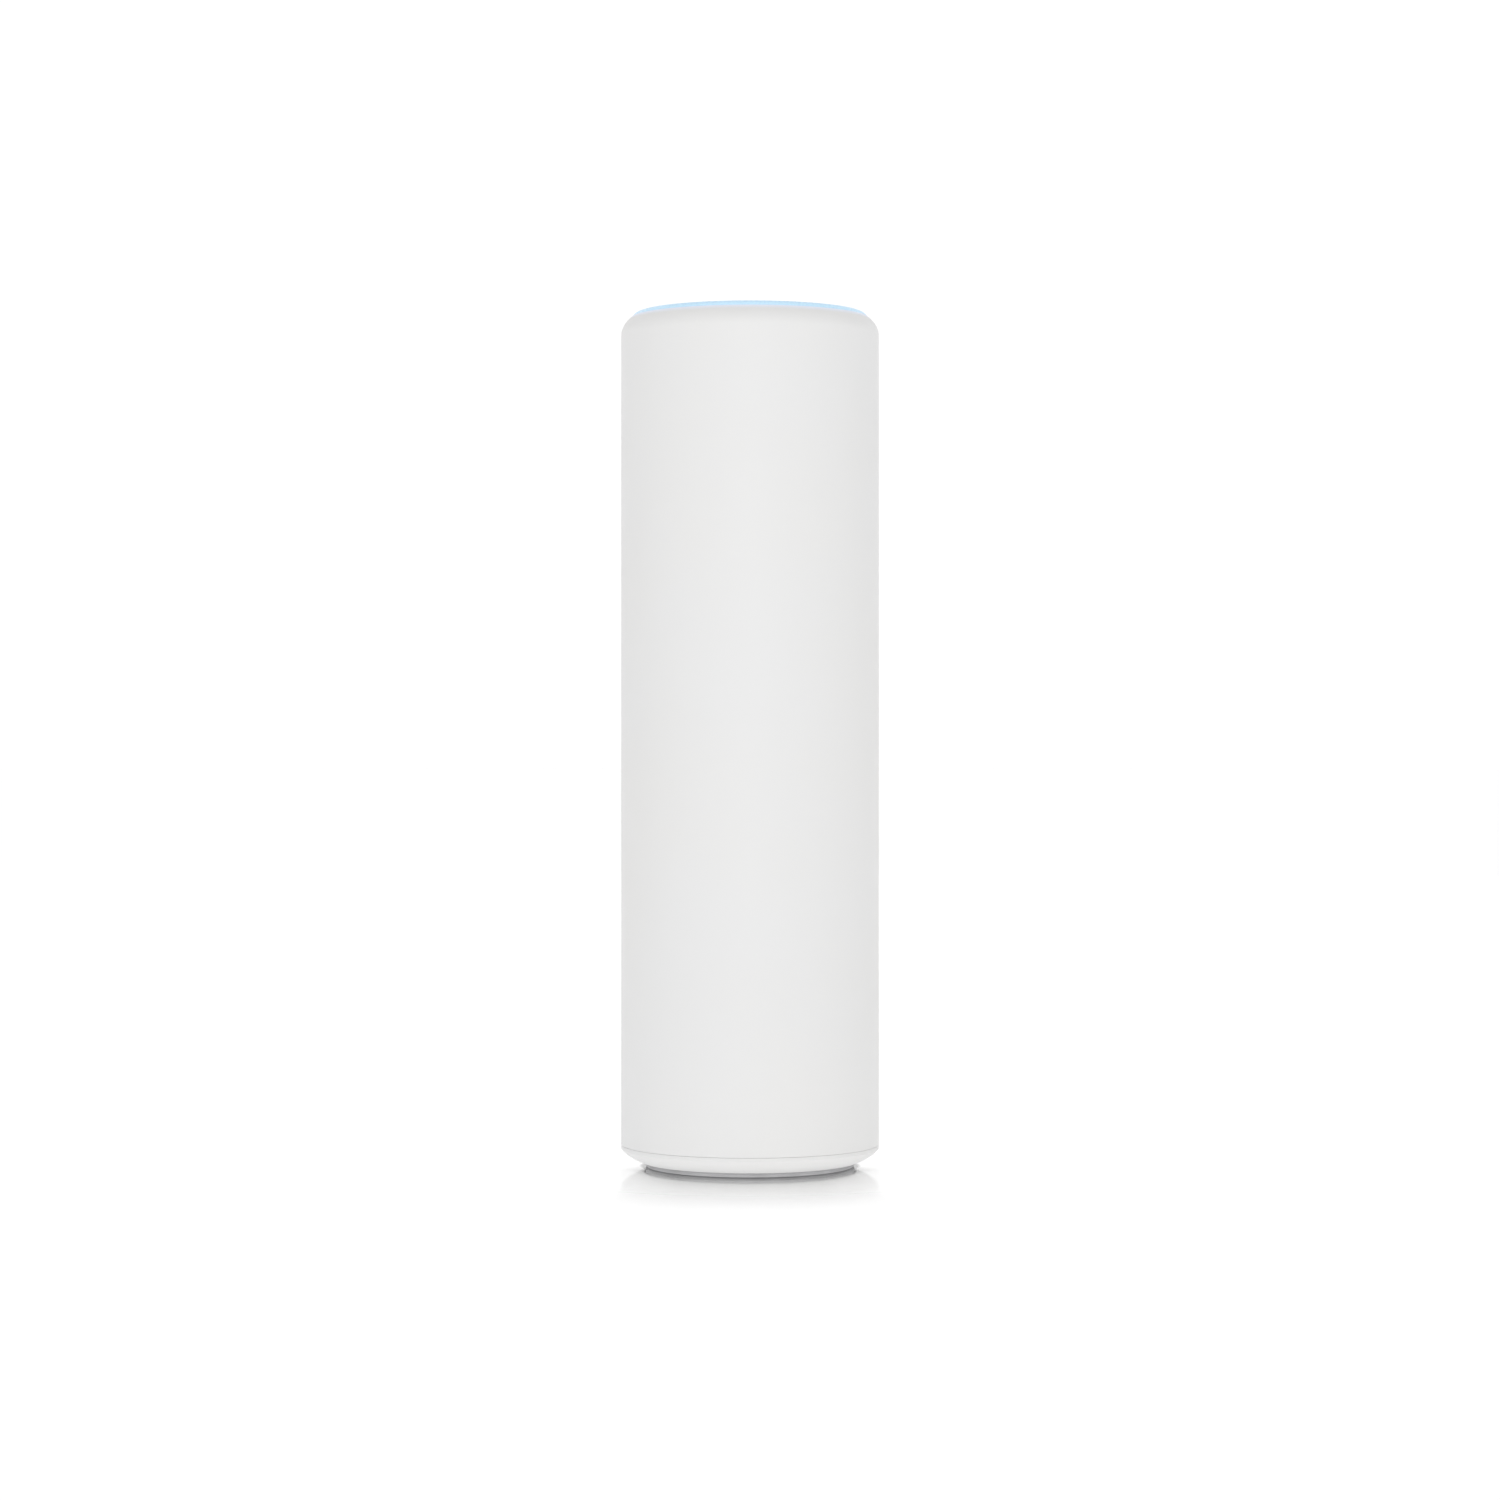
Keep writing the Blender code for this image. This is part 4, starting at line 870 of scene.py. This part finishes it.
def make_screws(steel):
    """All eleven screws from one shape."""
    rows = []
    names = [*numbered("panel_screw", len(BOSS_ANGLES)), *numbered("chassis_screw", 2)]
    for name, place in zip(names, panel_screw_places()):
        rows.append((name, place + Vector((0, 0, 0.2 * MM)), (0, 0, 1), 7.7 * MM))
    spots = [(x * MM, BOARD_FRONT - 0.05 * MM, z * MM) for x in (-14, 14) for z in (60.5, 114.5)]
    for name, place in zip(numbered("heat_sink_screw", len(spots)), spots):
        rows.append((name, place, (0, 1, 0), 5.7 * MM))
    for name in numbered("carrier_screw", 2):
        low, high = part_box(name)
        rows.append((name, ((low.x + high.x) / 2, 0, high.z - 1.3 * MM), (0, 0, -1), 8 * MM))
    for name, place, direction, length in rows:
        turn = Vector((0, 0, 1)).rotation_difference(Vector(direction)).to_matrix().to_4x4()
        shape = moved(screw_shape(length), Matrix.Translation(place) @ turn)
        add_piece(f"{name}_surface", shape, steel, name)


def make_jack(tin, black, gold):
    """The shield with its spring tongues, the insulator, the contact insert and its eight bent wires."""
    slots = []
    for side in (-1, 1):
        outer, inner = sorted((side * 8.5 * MM, side * 7.5 * MM))
        for y in (-3.0, 0.2):
            low, high = y * MM - 0.12 * MM, y * MM + 2.6 * MM
            slots.append(box_shape((outer, low, 35 * MM), (inner, low + 0.25 * MM, 40 * MM)))
            slots.append(box_shape((outer, high, 35 * MM), (inner, high + 0.25 * MM, 40 * MM)))
            slots.append(box_shape((outer, low, 40 * MM), (inner, high + 0.25 * MM, 40.25 * MM)))
    shape = carved(cad_shape("jack_shield"), slots)
    add_piece("jack_shield_surface", shape, tin, "jack_shield", 0.08)
    round_off("jack_housing", black, 0.15)
    insert = box_shape(*in_mm((-5.6, -4.3, 46.9), (5.6, 2.2, 51.9)))
    grooves = []
    spots = [(i - (CONTACTS - 1) / 2) * CONTACT_PITCH for i in range(CONTACTS)]
    for x in spots:
        grooves.append(box_shape((x - 0.3 * MM, -5 * MM, 46 * MM), (x + 0.3 * MM, -1.7 * MM, 49.5 * MM)))
    shape = carved(insert, grooves)
    add_piece("contact_insert", shape, black, "jack_contacts", 0.06)
    bends = [(-1.9, 49.2), (-2.1, 47.2, 1.2), (-3.75, 39.1, 0.5), (-4.3, 38.5, 0.35)]
    bends += [(-4.35, 39.6, 0.3), (-4.1, 41.0)]
    route = rounded([(b[0] * MM, b[1] * MM, *b[2:]) for b in bends])
    wires = [wire([Vector((x, y, z)) for y, z in route], Vector((1, 0, 0)), 0.2 * MM) for x in spots]
    add_piece("contact_wires", merged(wires), gold, "jack_contacts")


# ---- inside
def chip(low, high):
    """A tiny block in board coordinates: x, height above the front face, z, in millimetres."""
    corner = (low[0] * MM, BOARD_FRONT - high[1] * MM, low[2] * MM)
    return box_shape(corner, (high[0] * MM, BOARD_FRONT - low[1] * MM + 0.02 * MM, high[2] * MM))


def touches(taken, x, z, half_width, half_length):
    """Whether a block in the board's plane, in millimetres, comes too close to one of the taken boxes."""
    margin = 0.9
    for near, far in taken:
        across = near.x / MM - margin < x + half_width and x - half_width < far.x / MM + margin
        along = near.z / MM - margin < z + half_length and z - half_length < far.z / MM + margin
        if across and along:
            return True
    return False


def board_front_boxes():
    """Boxes of the CAD pieces that stand on the main board's front."""
    found = []
    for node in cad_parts:
        low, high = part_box(node)
        on_front = low.y < BOARD_FRONT - 0.01 * MM and high.y > BOARD_FRONT - 1.5 * MM
        if on_front and node != "outer_shell" and high.x - low.x < 2 * PANEL_RIM - 3 * MM:
            found.append((low, high))
    return found


def small_chip(x, z, half, tall):
    """A square package and its eight gull-wing leads."""
    leads = []
    for i in range(4):
        foot = z - half + 0.45 + i * 0.7
        for side in (-1, 1):
            edge = x + side * half
            leads.append(chip((edge - 0.35, 0, foot - 0.1), (edge + 0.35, 0.15, foot + 0.1)))
    return chip((x - half, 0, z - half), (x + half, tall, z + half)), leads


def chip_component(x, z, wide, long, tall, lying):
    """A two-ended chip resistor or capacitor: its body and its plated ends."""
    cap, inset, under = 0.25, 0.04, 0.2  # the body reaches under the ends
    high = tall + inset
    if lying:
        body = chip((x - wide + under, 0, z - long + inset), (x + wide - under, tall, z + long - inset))
        first = chip((x - wide, 0, z - long), (x - wide + cap, high, z + long))
        last = chip((x + wide - cap, 0, z - long), (x + wide, high, z + long))
    else:
        body = chip((x - wide + inset, 0, z - long + under), (x + wide - inset, tall, z + long - under))
        first = chip((x - wide, 0, z - long), (x + wide, high, z - long + cap))
        last = chip((x - wide, 0, z + long - cap), (x + wide, high, z + long))
    return body, [first, last]


def transformer_leads():
    """The sixteen leads of the network transformer."""
    leads = []
    for i in range(8):
        foot = 58.2 + i * 1.44
        for near, far in ((-9.8, -8.5), (8.5, 9.8)):
            leads.append(chip((near, 0, foot - 0.2), (far, 0.3, foot + 0.2)))
    return leads


def make_small_components(resin, ceramic, tin):
    """Resistors, capacitors and small chips in the spaces the larger pieces leave on the board's front."""
    taken = board_front_boxes()
    draw = random.Random(5)
    rows, columns, wobble = 36, 15, 0.15
    kinds = {  # name: half width, height, half length in millimetres, chance
        "resistor": (0.25, 0.35, 0.5, 5),
        "capacitor": (0.25, 0.5, 0.5, 5),
        "large_capacitor": (0.62, 1.1, 1.0, 2),
        "small_chip": (1.5, 0.8, 1.5, 1),
    }
    chances = [kind[3] for kind in kinds.values()]
    painted_shadow, pale, ends = [], [], transformer_leads()
    low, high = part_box("main_board")
    for row in range(rows):
        for column in range(columns):
            x = low.x / MM + 2.9 + column * 2.2 + draw.uniform(-wobble, wobble)
            z = low.z / MM + 2.2 + row * 2.25 + draw.uniform(-wobble, wobble)
            kind = draw.choices(list(kinds), chances)[0]
            lying = draw.random() < 0.4
            wide, tall, long, _ = kinds[kind]
            if lying:
                wide, long = long, wide
            blocked = x + wide > high.x / MM - 2.4 or touches(taken, x, z, wide, long)
            if blocked or draw.random() < 0.25:
                continue
            taken.append((Vector((x - wide, 0, z - long)) * MM, Vector((x + wide, 0, z + long)) * MM))
            if kind == "small_chip":
                body, metal = small_chip(x, z, wide, tall)
            else:
                body, metal = chip_component(x, z, wide, long, tall, lying)
            (pale if "capacitor" in kind else painted_shadow).append(body)
            ends += metal
    add_piece("chip_resistors", merged(painted_shadow), resin, bevel=0.04)
    add_piece("chip_capacitors", merged(pale), ceramic, bevel=0.04)
    add_piece("soldered_ends", merged(ends), tin, bevel=0.04)


def make_connectors(gold, black):
    """The round plugs on the antenna leads and the flat cable's socket."""
    plug = rounded([
        (0, 0), (1.25 * MM, 0, 0.15), (1.25 * MM, 0.5 * MM), (1.0 * MM, 0.6 * MM),
        (1.0 * MM, 1.35 * MM, 0.2), (0, 1.35 * MM),
    ])
    plugs = []
    for name, x in zip(numbered("antenna_lead", 4), (10, -10, 6, -6)):
        top = revolved(plug, SMALL_STEPS, closed=False)
        place = Matrix.Translation((x * MM, BOARD_FRONT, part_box(name)[0].z + 0.5 * MM))
        plugs.append(moved(top, place @ Matrix.Rotation(math.pi / 2, 4, "X")))
    add_piece("lead_plugs", merged(plugs), gold)
    low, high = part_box("led_cable")
    corner = (low.x - 0.8 * MM, BOARD_FRONT - 2 * MM, low.z - 1.2 * MM)
    shape = box_shape(corner, (high.x + 0.8 * MM, BOARD_FRONT, low.z + 0.8 * MM))
    add_piece("cable_socket", shape, black, bevel=0.1)


def make_capacitor(metal, sleeve):
    """The electrolytic capacitor: a sleeved can with a rolled-in neck and a scored end."""
    low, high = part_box("bulk_capacitor")
    radius, length = (high.x - low.x) / 2, high.y - low.y
    can = rounded([
        (0, 0), (radius - 0.1 * MM, 0, 0.5), (radius - 0.1 * MM, length - 2.2 * MM, 0.1),
        (radius - 0.45 * MM, length - 1.8 * MM, 0.4), (radius - 0.1 * MM, length - 1.4 * MM, 0.1),
        (radius - 0.1 * MM, length, 0.4), (0, length),
    ])
    place = Vector(((low.x + high.x) / 2, low.y, (low.z + high.z) / 2))
    scores = [
        box_shape(*in_mm((-2.2, -0.12, -1), (2.2, 0.12, 0.12))),
        box_shape(*in_mm((-0.12, -2.2, -1), (0.12, 2.2, 0.12))),
    ]
    shape = carved(revolved(can, SMALL_STEPS, closed=False), scores)
    add_piece("capacitor_can", along_y(shape, place), metal, "bulk_capacitor")
    wrap = rounded([
        (radius - 0.06 * MM, 0.7 * MM), (radius, 0.7 * MM, 0.03), (radius, length - 2.3 * MM, 0.03),
        (radius - 0.06 * MM, length - 2.3 * MM),
    ])
    shape = revolved(wrap, SMALL_STEPS)
    add_piece("capacitor_sleeve", along_y(shape, place), sleeve, "bulk_capacitor")


def make_transformer(ferrite, black, tin):
    """The power transformer: a ferrite core round a taped winding, on a bobbin with pins."""
    low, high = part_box("poe_transformer")
    middle = (low + high) / 2
    left, right = middle.x - 3.5 * MM, middle.x + 3.5 * MM
    core = box_shape((left, low.y, low.z), (right, high.y - 1.6 * MM, high.z))
    left, right = middle.x - 4 * MM, middle.x + 4 * MM
    bottom, top = low.z + 2.4 * MM, high.z - 2.4 * MM
    window = box_shape((left, low.y + 1.3 * MM, bottom), (right, high.y - 2.6 * MM, top))
    bottom, top = middle.z - 0.05 * MM, middle.z + 0.05 * MM
    joint = box_shape((left, low.y - 0.1 * MM, bottom), (right, low.y + 0.08 * MM, top))
    core = carved(core, [window, joint])
    add_piece("transformer_core", core, ferrite, "poe_transformer", 0.25)
    tape = speckled("Winding tape", "flat_cable", (0.60, 0.40, 0.07), (0.68, 0.48, 0.10), 0.32, 1.5, 0.01)
    corner = low + Vector((0.4, 1.4, 2.5)) * MM
    winding = box_shape(corner, high - Vector((0.4, 2.7, 2.5)) * MM)
    add_piece("transformer_winding", winding, tape, "poe_transformer", 0.9)
    bobbin = box_shape((low.x, high.y - 1.5 * MM, low.z), (high.x, high.y - 0.5 * MM, high.z))
    add_piece("transformer_bobbin", bobbin, black, "poe_transformer", 0.2)
    pins = []
    for i in range(5):
        x = middle.x + (i - 2) * 2.5 * MM
        for z in (low.z + 0.9 * MM, high.z - 0.9 * MM):
            pins.append(along_y(rod((0, 0), 0.35 * MM, 0, 0.9 * MM, 16), Vector((x, high.y - 0.6 * MM, z))))
    add_piece("transformer_pins", merged(pins), tin, "poe_transformer")


def make_inductor(ferrite, tin):
    """The shielded inductor: a square ferrite sleeve, the drum inside it and two end terminals."""
    low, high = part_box("power_inductor")
    middle = (low + high) / 2
    half = (high.x - low.x) / 2
    height = high.y - low.y - 0.1 * MM
    block = prism(rounded(oblong(half, -half, half, 1.4)), 0, height)
    gap = [(2.7 * MM, -1 * MM), (3.0 * MM, -1 * MM), (3.0 * MM, 0.6 * MM), (2.7 * MM, 0.6 * MM)]
    block = along_y(carved(block, [revolved(gap, SMALL_STEPS)]), Vector((middle.x, low.y, middle.z)))
    add_piece("inductor_body", block, ferrite, "power_inductor", 0.12)
    ends = []
    for side in (-1, 1):
        outer, inner = middle.z + side * (half + 0.03 * MM), middle.z + side * (half - 1.4 * MM)
        bottom, top = sorted((outer, inner))
        corner = (middle.x - 1.7 * MM, high.y - 1.0 * MM, bottom)
        ends.append(box_shape(corner, (middle.x + 1.7 * MM, BOARD_FRONT + 0.02 * MM, top)))
    add_piece("inductor_ends", merged(ends), tin, "power_inductor", 0.06)


def make_inside(black, tin, gold, resin, jacket):
    """Pieces whose CAD shape is right: rounded edges and their own finishes."""
    aluminium = drawn_metal("Cast aluminium", "aluminium", (0.72, 0.73, 0.75), 0.42, (1, 1, 0.4), 0.6)
    groups = [  # look, rounding in millimetres, nodes
        (black, 0.3, ["chassis", "antenna_carrier"]),
        (black, 0.15, ["reset_switch"]),
        (circuit_board("Main board", 2), 0.05, ["main_board"]),
        (circuit_board("Light board", 1), 0.05, ["led_board"]),
        (aluminium, 0.2, ["heat_sink"]),
        (tin, 0.15, ["processor_shield", "radio_5g_shield", "radio_2g_shield"]),
        (resin, 0.1, ["processor", "radio_5g", "radio_2g"]),
        (resin, 0.2, ["ethernet_transformer"]),
        (thermal_pad(), 0.15, ["processor_pad", "radio_pad"]),
        (flat_cable(), 0.05, ["led_cable"]),
        (bright_white(), 0.2, ["reflector"]),
        (gold, 0.06, ["antenna_2g_left", "antenna_2g_right"]),
    ]
    for antenna, lead in zip(numbered("antenna_5g", 4), numbered("antenna_lead", 4)):
        groups += [(gold, 0.06, [antenna]), (jacket, 0.1, [lead])]
    groups.append((led_resin(), 0.08, numbered("led", 6)))
    for look, rounding, nodes in groups:
        for node in nodes:
            round_off(node, look, rounding)


# ---- studio
def add_area(name, place, target, size, power):
    light = bpy.data.lights.new(name, "AREA")
    light.shape = "RECTANGLE"
    light.size, light.size_y = size
    light.energy = power
    obj = bpy.data.objects.new(name, light)
    obj.location = place
    obj.rotation_euler = (Vector(target) - Vector(place)).to_track_quat("-Z", "Y").to_euler()
    obj.visible_glossy = False
    bpy.context.scene.collection.objects.link(obj)


def make_backdrop():
    """White to look at and in reflections, dimmer as light on the object and dimmest from above."""
    world = bpy.data.worlds.new("Studio")
    sky = Nodes(world, "Background", "Generated")
    height = sky.ramp(sky.axes()[2], SIDE_LIGHT, TOP_LIGHT, 0.0, 1.0)
    diffuse = sky.node("ShaderNodeLightPath").outputs["Is Diffuse Ray"]
    mixed = sky.node("ShaderNodeMix", {0: diffuse, 2: BACKDROP_LIGHT, 3: height})
    sky.feed("Strength", mixed.outputs[0])
    sky.shader.inputs["Color"].default_value = (1, 1, 1, 1)
    bpy.context.scene.world = world


def make_floor():
    """A pale floor that glows a little. Near the object it is glossy, with a painted shadow towards the
    front that darkens its colour and glow as the camera sees it.
    """
    floor = plain_object("Floor", rod((0, 0), FLOOR_RADIUS, -FLOOR_THICKNESS, 0, 96))
    paint = Finish("Pale floor", FLOOR_WHITE, 0.1)
    # painted shadow: ambient occlusion darkens the floor's colour and glow, for camera rays only
    near = paint.node("ShaderNodeAmbientOcclusion", {"Distance": FLOOR_SHADE_REACH}, samples=8)
    distance = paint.node("ShaderNodeVectorMath", {0: paint.place}, operation="LENGTH").outputs["Value"]
    far = paint.ramp(distance, 0.0, 1.0, *FLOOR_GLOSS_RADII, "SMOOTHERSTEP")
    seen = paint.node("ShaderNodeLightPath").outputs["Is Camera Ray"]
    x, y, _ = paint.axes()
    side = paint.math("ABSOLUTE", x)
    core = paint.ramp(side, 1.0, 0.35, FLOOR_SHADE_CORE, FLOOR_SHADE_EDGE[0])
    edge = paint.ramp(side, 1.0, 0.0, *FLOOR_SHADE_EDGE, "SMOOTHSTEP")
    ahead = paint.ramp(y, 1.0, 0.0, *FLOOR_SHADE_FRONT)
    strip = paint.math("MULTIPLY", paint.math("MULTIPLY", core, edge), ahead)
    contact = paint.ramp(distance, 1.0, 0.0, *FLOOR_CONTACT_RADII, "SMOOTHSTEP")
    strength = paint.math("MULTIPLY", paint.math("MAXIMUM", strip, contact), FLOOR_SHADE_STRENGTH)
    shade = paint.math("SUBTRACT", 1.0, near.outputs["AO"])
    painted_shadow = paint.math("MULTIPLY", paint.math("MULTIPLY", shade, strength), seen)
    tone = paint.mix(painted_shadow, FLOOR_WHITE, FLOOR_SHADED)
    paint.colour(tone)
    paint.feed("Emission Color", tone)
    # painted shade: the glow is held back near the object, for camera rays only
    held_back = paint.math("MULTIPLY", seen, paint.ramp(far, FLOOR_GLOW - FLOOR_GLOW_SEEN, 0.0, 0.0, 1.0))
    paint.feed("Emission Strength", paint.math("SUBTRACT", FLOOR_GLOW, held_back))
    paint.rough(far, 0.05, 0.6, 0.0, 1.0)
    floor.data.materials.append(paint.material)


def make_studio():
    scene = bpy.context.scene
    scene.view_settings.view_transform = "Standard"
    make_backdrop()
    make_floor()
    add_area("Front light", (0, -1.3, 0.09), (0, 0, 0.08), (0.7, 1.2), FRONT_LIGHT)
    for side in (-1, 1):
        add_area("Back light", (side * 0.5, 1.3, 0.35), (0, 0, 0.08), (0.5, 0.8), BACK_LIGHT)

    camera = bpy.data.cameras.new("Camera")
    camera.lens = LENS
    camera.shift_y = HORIZON_SHIFT
    camera.clip_start = 0.01
    eye = bpy.data.objects.new("Camera", camera)
    eye.location = (0, -CAMERA_DISTANCE, CAMERA_HEIGHT)
    eye.rotation_euler = (math.pi / 2, 0, 0)
    scene.collection.objects.link(eye)
    scene.camera = eye


def main():
    make_studio()
    white, black = white_moulding(), black_moulding()
    seal = grey_rubber("Seal rubber", (0.12, 0.12, 0.125))
    tin = drawn_metal("Tin plate", "tin_plate", (0.75, 0.75, 0.74), 0.30, (1, 1, 0.15), 1.6)
    gold = drawn_metal("Gold plate", "gold_plate", (0.90, 0.68, 0.30), 0.24, (1, 1, 0.3))
    shades = (0.03, 0.03, 0.034), (0.055, 0.055, 0.06)
    resin = speckled("Chip resin", "chip_resin", *shades, 0.48, 0.12, 0.01)
    shades = (0.06, 0.06, 0.064), (0.12, 0.12, 0.125)
    ferrite = speckled("Ferrite", "ferrite", *shades, 0.60, 0.2, 0.04)
    ceramic = speckled("Ceramic", "ferrite", (0.42, 0.30, 0.19), (0.50, 0.37, 0.24), 0.45, 0.1, 0.01)
    jacket = lead_jacket()
    make_shell(white_moulding("White shell", LIP_GLOW))
    make_lamp(light_guide(), white)
    make_base(white, grey_rubber(), seal)
    make_port_panel(white, seal)
    make_reset(grey_moulding())
    make_screws(drawn_metal("Zinc plate", "screw_steel", (0.62, 0.62, 0.64), 0.30, (1, 1, 1), 0.5))
    make_jack(tin, black, gold)
    make_small_components(resin, ceramic, tin)
    make_connectors(gold, black)
    make_capacitor(drawn_metal("Rolled can", "aluminium", (0.74, 0.75, 0.77), 0.33, (1, 1, 1)), jacket)
    make_transformer(ferrite, black, tin)
    make_inductor(ferrite, tin)
    make_inside(black, tin, gold, resin, jacket)


main()
